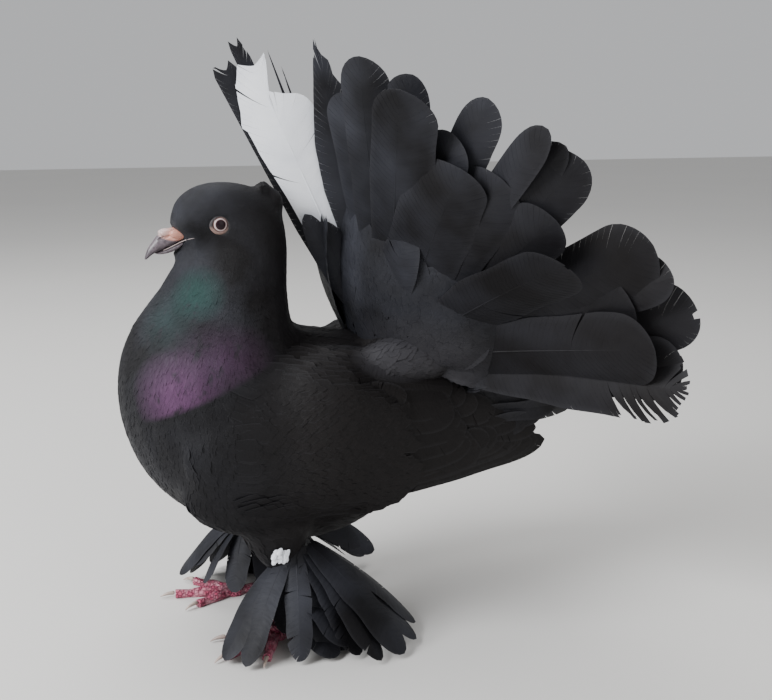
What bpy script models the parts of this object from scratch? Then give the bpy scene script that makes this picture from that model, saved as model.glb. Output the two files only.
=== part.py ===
# An Indian fantail pigeon at life size, standing, with its tail fanned.
# The bird looks along -X, its left side faces -Y and +Z is up.
# All sizes below are millimetres until a mesh is made.
import math
import random

import bmesh
import bpy
from mathutils import Matrix, Vector

MM = 0.001
GAP = 0.3
SIDES = {"left": -1.0, "right": 1.0}
RING_POINTS = 24

# Stations from rump to forehead: back x, back z, belly x, belly z, half width, extra width at the back
BODY_STATIONS = [
    (46.0, 150.0, 62.0, 66.0, 33.0, 0.00),
    (35.0, 152.0, 44.0, 49.0, 41.0, 0.00),
    (23.0, 154.0, 22.0, 42.0, 46.0, 0.00),
    (14.0, 155.5, 0.0, 41.0, 48.5, 0.00),
    (9.0, 157.0, -22.0, 46.5, 50.0, 0.00),
    (7.0, 158.5, -42.0, 58.0, 51.0, 0.00),
    (6.2, 160.0, -58.5, 69.5, 51.0, 0.00),
    (5.8, 162.0, -71.0, 84.5, 50.0, 0.00),
    (5.6, 164.5, -79.5, 104.0, 48.0, 0.00),
    (5.5, 168.0, -82.8, 124.0, 44.5, 0.00),
    (5.5, 172.0, -81.0, 142.0, 39.0, 0.00),
    (5.5, 177.0, -75.5, 156.5, 33.0, 0.00),
    (5.5, 183.0, -67.5, 168.0, 28.0, 0.02),
    (5.3, 190.0, -60.0, 177.5, 24.0, 0.04),
    (5.0, 199.0, -55.0, 184.5, 20.5, 0.08),
    (4.0, 208.0, -52.0, 188.5, 18.4, 0.14),
    (1.0, 216.0, -50.8, 190.3, 17.3, 0.18),
    (-6.0, 222.5, -50.6, 191.3, 16.7, 0.20),
    (-16.0, 226.5, -50.9, 192.0, 16.2, 0.20),
    (-27.0, 228.0, -51.4, 192.5, 15.6, 0.18),
    (-37.0, 227.0, -51.9, 192.9, 14.5, 0.14),
    (-45.0, 223.4, -52.4, 193.3, 12.8, 0.10),
    (-50.4, 217.4, -53.0, 193.6, 10.2, 0.06),
    (-52.2, 208.5, -53.4, 193.8, 6.8, 0.00),
]
TORSO_SPAN = (0.0, 10.6, 21)
NECK_SPAN = (10.6, 14.5, 8)
HEAD_SPAN = (14.5, 23.0, 16)

# Bill, eyes and mouth
BILL_BASE_X = -53.4
BILL_TOP_Z = 207.0
BILL_TIP = (-65.6, 191.6)
LOWER_BILL_TIP_X = -62.8
MOUTH_BASE_Z = 197.6
BILL_HALF_WIDTH = 5.0
GAPE = (-44.0, 201.8)
EYE_CENTRE = (-31.5, 12.0, 208.5)
EYE_RADIUS = 5.0
LID_RADIUS = 4.5
LID_THICKNESS = 1.0

# Legs
FOOT = {"left": (-12.0, 29.0), "right": (-20.0, 31.0)}
FOOT_TURN = {"left": 24.0, "right": 6.0}
SHANK_BOTTOM_Z = 8.0
SHANK_TOP_Z = 33.0
SHANK_RADIUS = 4.0
ANKLE_OFFSET_X = 7.0
# Toe: name, angle outward from straight ahead, length, half width at root
TOES = [
    ("inner", -32.0, 25.0, 3.2),
    ("middle", 4.0, 32.0, 3.4),
    ("outer", 42.0, 27.0, 3.2),
    ("hind", 176.0, 20.0, 3.0),
]
CLAW_LENGTH = 8.0
# Thigh from the shank up: z, radius, share of the ankle's offset
THIGH_RINGS = [
    (33.3, 6.5, 1.0),
    (38.0, 8.6, 0.8),
    (46.0, 12.0, 0.3),
    (60.0, 16.0, 0.0),
]
# Angle of the first foot feather from straight ahead, clear of the toes
MUFF_FIRST = {"left": 18.0, "right": 28.0}
# How much longer the foot feathers are behind the foot than beside it
MUFF_BEHIND = {"left": 0.44, "right": 0.66}

# Tail fan
FAN_FEATHERS = {"left": 13, "right": 12}
FAN_FIRST = 5.0
FAN_LAST = 89.0
FAN_LEAN = {"left": -0.30, "right": -0.52}
FAN_SWEEP = {"left": 1.00, "right": 1.22}
FAN_LENGTH = {"left": 150.0, "right": 153.0}
FAN_MIDDLE_SHORTER = 8.0
FAN_SIDE_SHORTER = 7.0
FAN_HALF_WIDTH = 17.0
TAIL_CORE_RADII = (20.0, 13.0, 15.0)
UNDERTAIL_TOP_Z = 121.5
UNDERTAIL_ROLL = 0.7
COVERT_RINGS = 7
# Upper tail coverts: how many, first and last angle, length, half width
TAIL_COVERT_TIERS = [
    (5, 7.0, 80.0, 58.0, 11.0),
    (4, 14.0, 72.0, 42.0, 10.5),
]
TAIL_COVERT_SHARE = {"left": 1.0, "right": 0.8}
# Undertail: how many, x and z of the roots, length, rise
UNDERTAIL_TIERS = [
    (4, 70.0, 84.0, 66.0, 0.20),
    (3, 74.0, 96.0, 80.0, 0.15),
    (3, 74.0, 108.0, 94.0, 0.06),
]

# The folded wing, from its bend to its tip: x, lower z, upper z, outer y, depth
WING_STATIONS = [
    (-62.0, 94.0, 108.0, 42.0, 3.0),
    (-54.0, 84.0, 121.0, 48.0, 6.0),
    (-40.0, 75.0, 134.0, 53.5, 9.0),
    (-20.0, 68.0, 145.0, 56.0, 10.0),
    (0.0, 65.0, 149.0, 56.5, 10.0),
    (22.0, 64.5, 146.0, 55.0, 9.0),
    (45.0, 67.0, 133.0, 51.0, 7.0),
    (64.0, 74.0, 121.0, 46.5, 5.0),
    (84.0, 80.0, 111.0, 41.0, 3.6),
    (104.0, 86.0, 104.0, 35.5, 2.6),
]
WING_SAG = 13.0
WING_MIDDLE_REACH = 42.0
WING_TAPER_START_X = 104.0
# Flight feathers by tier: how many, half width, lift at the root, edge lift, bow,
# first root and tip, last root and tip (x, z), lift at the tip of the first and of the last
FLIGHT_TIERS = [
    (7, 7.0, -1.6, 0.3, -1.5, (26.0, 76.0), (138.0, 89.0), (36.0, 90.0), (94.0, 98.0), 0.0, 5.4),
    (7, 6.8, -1.6, 0.75, 1.0, (8.0, 80.0), (92.0, 93.0), (4.0, 124.0), (72.0, 119.0), 5.2, 3.7),
]
# Wing coverts by tier: how many, x of the roots, reach, lift at the tip
COVERT_TIERS = [
    (6, -16.0, 46.0, 2.4),
    (5, -38.0, 36.0, 2.2),
]
WING_COVERT_HALF_WIDTH = 8.0

# Crest: how many, spread in degrees, length, x and z of the roots
CREST_TIERS = [
    (4, 34.0, 11.0, -9.0, 218.5),
    (5, 50.0, 10.5, -4.0, 212.5),
]

# Muffs: how many, last angle, z of the roots, reach, z of the tips
MUFF_TIERS = [
    (9, 176.0, 13.0, 62.0, 1.2),
    (7, 172.0, 28.0, 50.0, 4.5),
]
MUFF_HALF_WIDTH = 6.5

random_source = random.Random(17)


def make_material(name, colour, roughness):
    material = bpy.data.materials.new(name)
    material.use_nodes = True
    shader = material.node_tree.nodes["Principled BSDF"]
    shader.inputs["Base Color"].default_value = (*colour, 1.0)
    shader.inputs["Roughness"].default_value = roughness
    shader.inputs["Metallic"].default_value = 0.0
    return material


def mesh_object(name, points, faces, material):
    """One closed mesh from points in millimetres, its faces turned outward."""
    mesh = bpy.data.meshes.new(name)
    mesh.from_pydata([Vector(p) * MM for p in points], [], faces)
    shape = bmesh.new()
    shape.from_mesh(mesh)
    bmesh.ops.recalc_face_normals(shape, faces=shape.faces)
    shape.to_mesh(mesh)
    shape.free()
    mesh.materials.append(material)
    piece = bpy.data.objects.new(name, mesh)
    parts.objects.link(piece)
    return piece


def loft(name, rings, material):
    """Skin rings of equal count and close both ends with a fan of triangles."""
    count = len(rings[0])
    points = [p for ring in rings for p in ring]
    faces = []
    for i in range(len(rings) - 1):
        for k in range(count):
            a = i * count + k
            b = i * count + (k + 1) % count
            faces.append((a, b, b + count))
            faces.append((a, b + count, a + count))
    for start in (0, (len(rings) - 1) * count):
        middle = sum((Vector(p) for p in points[start:start + count]), Vector()) / count
        points.append(middle)
        for k in range(count):
            faces.append((start + k, start + (k + 1) % count, len(points) - 1))
    return mesh_object(name, points, faces, material)


def smooth_row(table, t):
    """Catmull-Rom reading of a table of stations at the real number t."""
    last = len(table) - 1
    i = min(int(t), last - 1)
    f = t - i
    rows = [table[min(max(i + d, 0), last)] for d in (-1, 0, 1, 2)]
    result = []
    for a, b, c, d in zip(*rows):
        result.append(b + 0.5 * f * (c - a + f * (2 * a - 5 * b + 4 * c - d + f * (3 * (b - c) + d - a))))
    return result


def straight_row(table, x):
    """Linear reading of a table whose first column rises."""
    for low, high in zip(table, table[1:]):
        if x <= high[0]:
            break
    f = min(max((x - low[0]) / (high[0] - low[0]), 0.0), 1.0)
    return [a + (b - a) * f for a, b in zip(low[1:], high[1:])]


def body_ring(t, grow=0.0):
    """One slanted section of the body, from its back point to its belly point."""
    back_x, back_z, belly_x, belly_z, half, wide = smooth_row(BODY_STATIONS, t)
    back = Vector((back_x, 0.0, back_z))
    belly = Vector((belly_x, 0.0, belly_z))
    centre = (back + belly) / 2
    reach = (back - belly) / 2
    reach += reach.normalized() * grow
    ring = []
    for k in range(RING_POINTS):
        angle = 2 * math.pi * k / RING_POINTS
        side = (half + grow) * math.sin(angle) * (1 + wide * math.cos(angle))
        ring.append(centre + reach * math.cos(angle) + Vector((0.0, side, 0.0)))
    return ring


def body_length(name, span, material, grow=0.0):
    """A length of the body, half a gap short at each end, or longer where it grows."""
    first, last, count = span
    rings = [body_ring(first + (last - first) * i / (count - 1), grow) for i in range(count)]
    for end, inner in ((0, 1), (-1, -2)):
        normal = (rings[end][0] - rings[end][RING_POINTS // 2]).cross(Vector((0.0, 1.0, 0.0)))
        normal.normalize()
        middle = sum(rings[inner], Vector()) / RING_POINTS - sum(rings[end], Vector()) / RING_POINTS
        if normal.dot(middle) < 0:
            normal = -normal
        rings[end] = [p + normal * (GAP / 2 - grow) for p in rings[end]]
    return loft(name, rings, material)


def blade(path, across, half_widths, thick, camber=0.0):
    """A vane along a path, split alike on both faces: three points across where it is cambered, else two."""
    steps = (-1.0, 0.0, 1.0) if camber else (-1.0, 1.0)
    count = len(steps)
    points = []
    last = len(path) - 1
    for i, centre in enumerate(path):
        tangent = path[min(i + 1, last)] - path[max(i - 1, 0)]
        normal = across[i].cross(tangent).normalized()
        depth = thick[i] / 2
        for face in (1.0, -1.0):
            for c in steps:
                lift = camber * half_widths[i] * (1 - abs(c))
                points.append(centre + across[i] * half_widths[i] * c + normal * (lift + face * depth))
    faces = []
    ring = 2 * count
    for i in range(last):
        low = ring * i
        for a in [low + face + c for face in (0, count) for c in range(count - 1)]:
            faces.append((a, a + 1, a + ring + 1))
            faces.append((a, a + ring + 1, a + ring))
        for a in (low, low + count - 1):
            faces.append((a, a + count, a + ring + count))
            faces.append((a, a + ring + count, a + ring))
    for low in (0, ring * last):
        for a in range(low, low + count - 1):
            faces.append((a, a + 1, a + count + 1))
            faces.append((a, a + count + 1, a + count))
    return mesh_object("vane", points, faces, dark_feather)


def largest_surface(piece):
    """Keep only the closed surface that holds the most."""
    shape = bmesh.new()
    shape.from_mesh(piece.data)
    waiting = set(shape.faces)
    groups = []
    while waiting:
        front = [waiting.pop()]
        group = list(front)
        while front:
            face = front.pop()
            for edge in face.edges:
                for other in edge.link_faces:
                    if other in waiting:
                        waiting.remove(other)
                        front.append(other)
                        group.append(other)
        groups.append(group)
    if len(groups) > 1:
        def volume(group):
            total = 0.0
            for face in group:
                corners = [v.co for v in face.verts]
                for b, c in zip(corners[1:], corners[2:]):
                    total += corners[0].dot(b.cross(c))
            return abs(total)
        keep = max(groups, key=volume)
        drop = [f for g in groups if g is not keep for f in g]
        bmesh.ops.delete(shape, geom=drop, context="FACES")
    bmesh.ops.triangulate(shape, faces=shape.faces)
    shape.to_mesh(piece.data)
    shape.free()


def apply_boolean(piece, operation, others):
    """One Boolean with a collection of closed meshes, applied, and the collection's objects removed."""
    tools = bpy.data.collections.new("boolean_pieces")
    bpy.context.scene.collection.children.link(tools)
    for other in others:
        parts.objects.unlink(other)
        tools.objects.link(other)
    step = piece.modifiers.new("join", "BOOLEAN")
    step.operation = operation
    step.solver = "EXACT"
    step.operand_type = "COLLECTION"
    step.collection = tools
    bpy.context.view_layer.update()
    evaluated = piece.evaluated_get(bpy.context.evaluated_depsgraph_get())
    mesh = bpy.data.meshes.new_from_object(evaluated)
    piece.modifiers.clear()
    piece.data = mesh
    for other in others:
        bpy.data.objects.remove(other)
    bpy.data.collections.remove(tools)
    largest_surface(piece)
    return piece


def fuse(name, core, pieces):
    core.name = name
    core.data.name = name
    return apply_boolean(core, "UNION", pieces)


def carve(piece, cutters):
    return apply_boolean(piece, "DIFFERENCE", cutters)


def adopt(piece):
    """Move an object made by an operator into the parts collection."""
    for holder in list(piece.users_collection):
        holder.objects.unlink(piece)
    parts.objects.link(piece)
    return piece


def ball(name, centre, radii, material, segments=16, rings=10):
    bpy.ops.mesh.primitive_uv_sphere_add(segments=segments, ring_count=rings, radius=1.0)
    piece = adopt(bpy.context.object)
    piece.name = name
    size = Matrix.Diagonal((*[r * MM for r in radii], 1.0))
    piece.data.transform(Matrix.Translation(Vector(centre) * MM) @ size)
    piece.data.materials.append(material)
    return piece


def block(low, high):
    """A closed box between two corners, used as a cutter."""
    bpy.ops.mesh.primitive_cube_add(size=1.0)
    piece = adopt(bpy.context.object)
    low = Vector(low)
    high = Vector(high)
    size = Matrix.Diagonal((*((high - low) * MM), 1.0))
    piece.data.transform(Matrix.Translation((low + high) / 2 * MM) @ size)
    return piece


def torso_cutter():
    """The torso one gap larger all round, for whatever lies on it."""
    return body_length("torso_cutter", TORSO_SPAN, dark_feather, GAP)


def make_bill():
    """Upper bill with its cere and nostrils, and the lower bill."""
    rows = 7
    upper = []
    lower = []
    for i in range(rows):
        f = i / (rows - 1)
        x = BILL_BASE_X - GAP + (BILL_TIP[0] - BILL_BASE_X) * f
        half = BILL_HALF_WIDTH * (1 - f) ** 0.6 + 0.35
        mouth = MOUTH_BASE_Z + (BILL_TIP[1] - MOUTH_BASE_Z) * f
        top = BILL_TOP_Z + (BILL_TIP[1] - BILL_TOP_Z) * f ** 1.7 + 0.5
        ring = []
        for k in range(9):
            angle = math.pi * k / 8
            z = mouth + GAP / 2 + (top - mouth) * math.sin(angle)
            ring.append(Vector((x, half * math.cos(angle), z)))
        upper.append(ring)
        x = BILL_BASE_X - GAP + (LOWER_BILL_TIP_X - BILL_BASE_X) * f
        along = (x - BILL_BASE_X) / (BILL_TIP[0] - BILL_BASE_X)
        mouth = MOUTH_BASE_Z + (BILL_TIP[1] - MOUTH_BASE_Z) * along
        deep = 4.0 * (1 - f) ** 0.7 + 0.4
        ring = []
        for k in range(9):
            angle = math.pi * k / 8
            z = mouth - GAP / 2 - deep * math.sin(angle)
            ring.append(Vector((x, (half - 0.3) * math.cos(angle), z)))
        lower.append(ring)
    top_bill = loft("bill_upper", upper, bill_horn)
    lobes = []
    for side in SIDES.values():
        lobes.append(ball("cere", (-56.0, side * 2.3, 203.6), (3.2, 2.3, 1.9), cere_skin, 8, 6))
    fuse("bill_upper", top_bill, lobes)
    slits = []
    for side in SIDES.values():
        slits.append(ball("nostril", (-57.5, side * 4.2, 201.4), (2.0, 1.0, 0.5), bill_horn, 6, 5))
    carve(top_bill, slits)
    loft("bill_lower", lower, bill_horn)


def make_head():
    """Head with crest feathers, lids, eye sockets and the line of the mouth."""
    head = body_length("head", HEAD_SPAN, dark_feather)
    pieces = []
    for side in SIDES.values():
        bpy.ops.mesh.primitive_torus_add(
            major_radius=LID_RADIUS * MM, minor_radius=LID_THICKNESS * MM,
            major_segments=14, minor_segments=5,
            location=(EYE_CENTRE[0] * MM, side * (EYE_CENTRE[1] + 3.3) * MM, EYE_CENTRE[2] * MM),
            rotation=(math.radians(90.0 - side * 6.0), 0.0, 0.0))
        lid = adopt(bpy.context.object)
        lid.data.transform(lid.matrix_basis)
        lid.matrix_basis = Matrix()
        pieces.append(lid)
    pieces += crest_vanes()
    fuse("head", head, pieces)
    cutters = []
    for side in SIDES.values():
        centre = (EYE_CENTRE[0], side * EYE_CENTRE[1], EYE_CENTRE[2])
        cutters.append(ball("socket", centre, [EYE_RADIUS + GAP] * 3, dark_feather, 14, 8))
        cutters.append(mouth_groove(side))
    carve(head, cutters)
    for name, side in SIDES.items():
        centre = (EYE_CENTRE[0], side * EYE_CENTRE[1], EYE_CENTRE[2])
        ball("eye_" + name, centre, [EYE_RADIUS] * 3, eye_glass, 14, 8)


def mouth_groove(side):
    """A thin wedge that marks the line of the mouth back to the gape."""
    front = Vector((BILL_BASE_X - 1.0, 0.0, MOUTH_BASE_Z + 0.4))
    back = Vector((GAPE[0], 0.0, GAPE[1]))
    rings = []
    for place, inner, outer in ((front, 3.0, 12.0), (back, 10.4, 20.0)):
        ring = []
        for y, z in ((inner, -0.35), (outer, -0.45), (outer, 0.45), (inner, 0.35)):
            ring.append(place + Vector((0.0, side * y, z)))
        rings.append(ring)
    return loft("mouth_groove", rings, dark_feather)


def crest_vanes():
    """A small peak of feathers at the back of the crown."""
    vanes = []
    for row, (count, spread, length, x, z) in enumerate(CREST_TIERS):
        for i in range(count):
            turn = math.radians(spread * (2 * i / (count - 1) - 1))
            out = Vector((0.0, math.sin(turn), 0.0))
            root = Vector((x - 2.0 * abs(math.sin(turn)), 7.5 * math.sin(turn), z - 1.5 * turn * turn))
            rise = Vector((0.42 + 0.12 * row, 0.30 * math.sin(turn), 1.0)).normalized()
            reach = length * (1 - 0.25 * abs(turn))
            path = []
            for s in (0.0, 0.4, 0.75, 1.0):
                path.append(root + rise * reach * s + Vector((-1.6 * s * s, 0.0, 0.0)))
            side = Vector((0.35 * math.sin(turn), 1.0, 0.0)).normalized()
            side = (side - rise * side.dot(rise)).normalized()
            vanes.append(blade(path, [side] * 4, (2.4, 3.6, 3.0, 0.9), (1.4, 1.0, 0.8, 0.4)))
    return vanes


def fan_direction(side_name, angle):
    side = SIDES[side_name]
    along = FAN_LEAN[side_name] + FAN_SWEEP[side_name] * math.sin(angle) ** 3
    return Vector((along, side * math.sin(angle), math.cos(angle))).normalized()


def fan_root(side, angle):
    x = 54.0 + 18.0 * (1 - math.cos(angle))
    return Vector((x, side * (3.0 + 14.0 * math.sin(angle)), 136.0 + 14.0 * math.cos(angle)))


def fan_vane(side_name, angle, length, half, tilt, bend, curl):
    """A tail feather from the rump outward, its edge lifted over its neighbour's."""
    side = SIDES[side_name]
    direction = fan_direction(side_name, angle)
    ahead = fan_direction(side_name, angle + 0.05) - direction
    across = (ahead - direction * ahead.dot(direction)).normalized()
    normal = direction.cross(across) * side
    across = (across * math.cos(tilt) + normal * math.sin(tilt)).normalized()
    root = fan_root(side, angle)
    path = []
    for s in (0.0, 0.28, 0.56, 0.8, 0.94, 1.0):
        lift = bend * s * s + curl * max(s - 0.7, 0.0) ** 2
        path.append(root + direction * length * s + normal * length * lift)
    widths = [half * w for w in (0.12, 0.42, 0.82, 1.0, 0.78, 0.3)]
    return blade(path, [across] * 6, widths, (2.4, 1.6, 1.0, 0.8, 0.6, 0.5), 0.06)


def tail_core(side, grow=0.0):
    """The fleshy root of one half of the tail."""
    radii = [r + grow for r in TAIL_CORE_RADII]
    return ball("tail_core", (66.0, side * (TAIL_CORE_RADII[1] + 0.5), 138.0), radii, dark_feather, 14, 8)


def make_tail_half(name):
    """One half of the fan on its half of the fleshy tail root."""
    side = SIDES[name]
    core = tail_core(side)
    vanes = []
    for i in range(FAN_FEATHERS[name]):
        f = i / (FAN_FEATHERS[name] - 1)
        angle = math.radians(FAN_FIRST + (FAN_LAST - FAN_FIRST) * f)
        length = FAN_LENGTH[name] - FAN_SIDE_SHORTER * math.sin(angle) ** 8
        length -= FAN_MIDDLE_SHORTER * math.sin(3 * angle) ** 2
        length *= 1 + random_source.uniform(-0.045, 0.045)
        bend = -0.03 + random_source.uniform(-0.012, 0.012)
        vanes.append(fan_vane(name, angle, length, FAN_HALF_WIDTH, math.radians(9.0), bend, -0.3))
    fuse("tail_" + name, core, vanes)
    under = block((0.0, -40.0, 0.0), (90.0, 40.0, UNDERTAIL_TOP_Z + GAP))
    return carve(core, [past_middle(side), under, torso_cutter()])


def make_coverts(name):
    """One half of the soft lobe of upper tail coverts in front of the fan."""
    side = SIDES[name]
    rings = []
    for i in range(COVERT_RINGS):
        angle = side * math.radians(-4.0 + 92.0 * i / (COVERT_RINGS - 1))
        centre = covert_root(angle)
        out = Vector((0.0, math.sin(angle), math.cos(angle)))
        ring = []
        for k in range(8):
            turn = 2 * math.pi * k / 8
            ring.append(centre + out * 4.5 * math.cos(turn) + Vector((6.0 * math.sin(turn), 0.0, 0.0)))
        rings.append(ring)
    core = loft("coverts_core", rings, dark_feather)
    vanes = []
    for row, (count, first, last, length, half) in enumerate(TAIL_COVERT_TIERS):
        for i in range(count):
            angle = side * math.radians(first + (last - first) * i / (count - 1))
            reach = length * TAIL_COVERT_SHARE[name] * (1 + random_source.uniform(-0.08, 0.08))
            vanes.append(covert_vane(name, angle, row, reach, half))
    fuse("tail_coverts_" + name, core, vanes)
    cutters = [tail_core(other, GAP) for other in SIDES.values()]
    return carve(core, cutters + [torso_cutter(), past_middle(side)])


def past_middle(side):
    """A block that holds all that lies past the bird's middle plane, as seen from one side."""
    reach = 400.0
    if side > 0:
        return block((-reach, -reach, 0.0), (reach, GAP / 2, reach))
    return block((-reach, -GAP / 2, 0.0), (reach, reach, reach))


def covert_root(angle):
    x = 39.0 + 10.0 * (1 - math.cos(angle))
    return Vector((x, 27.0 * math.sin(angle), 137.0 + 18.5 * math.cos(angle)))


def covert_vane(name, angle, row, length, half):
    lean = FAN_LEAN[name] - 0.02 - 0.08 * row + 1.3 * (1 - math.cos(angle))
    direction = Vector((lean, 0.85 * math.sin(angle), max(math.cos(angle), -0.08))).normalized()
    length *= 0.7 + 0.3 * abs(math.sin(angle))
    across = Vector((0.0, math.cos(angle), -math.sin(angle)))
    across = (across - direction * across.dot(direction)).normalized()
    normal = direction.cross(across)
    across = (across * math.cos(0.1) + normal * math.sin(0.1)).normalized()
    root = covert_root(angle) + Vector((-2.5 * row, 0.0, 0.0))
    path = []
    for s in (0.0, 0.35, 0.7, 0.92, 1.0):
        path.append(root + direction * length * s + Vector((0.0, 0.0, -3.0 * s * s)))
    widths = [half * w for w in (0.5, 0.8, 1.0, 0.72, 0.3)]
    return blade(path, [across] * 5, widths, (2.0, 1.4, 1.0, 0.7, 0.5))


def make_undertail():
    """The feathers under the tail, on the lower part of the rump."""
    core = ball("undertail_core", (60.0, 0.0, 108.0), (27.0, 32.0, 34.0), dark_feather)
    vanes = []
    for count, x, z, length, rise in UNDERTAIL_TIERS:
        for i in range(count):
            f = 2 * i / (count - 1) - 1
            direction = Vector((1.0, 0.10 * f, rise)).normalized()
            roll = UNDERTAIL_ROLL * f
            across = Vector((0.0, math.cos(roll), math.sin(roll)))
            across = (across - direction * across.dot(direction)).normalized()
            root = Vector((x - 3.0 * abs(f), 13.0 * f, z + 0.9 * i + 5.0 * f * f))
            reach = length * (1 + random_source.uniform(-0.05, 0.05))
            path = [root + direction * reach * s for s in (0.0, 0.4, 0.85, 1.0)]
            vanes.append(blade(path, [across] * 4, (4.5, 9.0, 8.5, 3.2), (2.0, 1.2, 0.8, 0.5)))
    fuse("undertail", core, vanes)
    above = block((0.0, -200.0, UNDERTAIL_TOP_Z), (400.0, 200.0, 300.0))
    return carve(core, [above, torso_cutter()])


def wing_surface(x, z):
    """Distance of the folded wing's outer face from the bird's middle plane."""
    low, high, outer, _ = straight_row(WING_STATIONS, x)
    middle = (low + high) / 2
    spread = (z - middle) / WING_MIDDLE_REACH
    return outer - WING_SAG * spread * spread - 0.23 * max(x - WING_TAPER_START_X, 0.0)


def wing_vane(side, root, tip, half, layers, tilt, bow):
    """A wing feather laid on the folded wing, its layer rising from root to tip."""
    path = []
    across = []
    widths = []
    fractions = (0.0, 0.45, 0.85, 1.0)
    run = Vector((tip[0] - root[0], 0.0, tip[1] - root[1]))
    flat = Vector((-run.z, 0.0, run.x)).normalized()
    for s, share in zip(fractions, (0.6, 0.95, 0.9, 0.3)):
        middle = Vector((root[0], 0.0, root[1])) + run * s + flat * bow * math.sin(math.pi * s)
        ends = []
        for c in (-1.0, 1.0):
            place = middle + flat * c * half * share
            place.y = wing_surface(place.x, place.z) + layers[0] + (layers[1] - layers[0]) * s + c * tilt
            place.y *= side
            ends.append(place)
        path.append((ends[0] + ends[1]) / 2)
        across.append((ends[1] - ends[0]).normalized())
        widths.append((ends[1] - ends[0]).length / 2)
    return blade(path, across, widths, (1.3, 1.0, 0.7, 0.5))


def make_wing(name):
    """A folded wing: its arm, then coverts, secondaries and primaries in tiers."""
    side = SIDES[name]
    rings = []
    for x, low, high, _, depth in WING_STATIONS:
        ring = []
        for k in range(9):
            z = low + (high - low) * (1 - math.cos(math.pi * k / 8)) / 2
            ring.append(Vector((x, side * wing_surface(x, z), z)))
        for k in range(7, 0, -1):
            z = low + (high - low) * (1 - math.cos(math.pi * k / 8)) / 2
            ring.append(Vector((x, side * (wing_surface(x, z) - depth), z)))
        rings.append(ring)
    core = loft("wing_core", rings, dark_feather)
    vanes = []
    for count, half, sunk, tilt, bow, root_a, tip_a, root_b, tip_b, lift_a, lift_b in FLIGHT_TIERS:
        for i in range(count):
            f = i / (count - 1)
            root = Vector(root_a).lerp(Vector(root_b), f)
            tip = Vector(tip_a).lerp(Vector(tip_b), f)
            vanes.append(wing_vane(side, root, tip, half, (sunk, lift_a + (lift_b - lift_a) * f), tilt, bow))
    for count, x, reach, lift in COVERT_TIERS:
        low, high, _, _ = straight_row(WING_STATIONS, x)
        for i in range(count):
            f = i / (count - 1)
            z = low + 8.0 + (high - low - 18.0) * f
            tip = (x + reach, z - 1.0 + 2.0 * f)
            vanes.append(wing_vane(side, (x, z), tip, WING_COVERT_HALF_WIDTH, (-2.2, lift), 0.75, 0.6))
    fuse("wing_" + name, core, vanes)
    return carve(core, [torso_cutter()])


def leg_frame(name):
    """Foot centre and the directions ahead and outward of one foot."""
    side = SIDES[name]
    x, y = FOOT[name]
    turn = math.radians(FOOT_TURN[name])
    ahead = Vector((-math.cos(turn), side * math.sin(turn), 0.0))
    outward = Vector((math.sin(turn), side * math.cos(turn), 0.0))
    return Vector((x, side * y, 0.0)), ahead, outward


def toe_ring(centre, run, half, height):
    """A toe section with a flat sole."""
    level = Vector((-run.y, run.x, 0.0))
    shape = ((-0.75, 0.0), (0.75, 0.0), (1.0, 0.4), (0.62, 0.86), (0.0, 1.0), (-0.62, 0.86), (-1.0, 0.4))
    return [centre + level * half * a + Vector((0.0, 0.0, height * b)) for a, b in shape]


def make_foot(name):
    """Four toes and the pad, with claws in nodes of their own."""
    centre, ahead, outward = leg_frame(name)
    pieces = []
    for number, (_, angle, length, half) in enumerate(TOES, 1):
        turn = math.radians(angle)
        run = ahead * math.cos(turn) + outward * math.sin(turn)
        rings = []
        for i in range(5):
            s = i / 4
            knuckle = 1.0 + 0.10 * math.cos(4 * math.pi * s)
            size = half * (1.0 - 0.28 * s) * knuckle
            rings.append(toe_ring(centre + run * (1.0 + (length - 1.0) * s), run, size, 1.75 * size))
        pieces.append(loft("toe", rings, toe_skin))
        make_claw("claw_%s_%d" % (name, number), centre + run * (length + GAP), run)
    bpy.ops.mesh.primitive_cone_add(vertices=14, radius1=5.6 * MM, radius2=4.2 * MM,
                                    depth=(SHANK_BOTTOM_Z - GAP) * MM, location=(0, 0, 0))
    pad = adopt(bpy.context.object)
    pad.data.transform(Matrix.Translation((centre + Vector((0, 0, (SHANK_BOTTOM_Z - GAP) / 2))) * MM))
    pad.data.materials.append(toe_skin)
    return fuse("foot_" + name, pad, pieces)


def make_claw(name, start, run):
    rings = []
    for s, radius, drop in ((0.0, 1.5, 0.0), (0.35, 1.2, 0.1), (0.7, 0.8, 0.7), (1.0, 0.25, 2.0)):
        centre = start + run * CLAW_LENGTH * s + Vector((0.0, 0.0, 2.9 - drop))
        level = Vector((-run.y, run.x, 0.0))
        ring = []
        for k in range(6):
            turn = 2 * math.pi * k / 6
            rise = Vector((0.0, 0.0, radius * math.sin(turn)))
            ring.append(centre + level * radius * math.cos(turn) + rise)
        rings.append(ring)
    return loft(name, rings, claw_horn)


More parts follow.
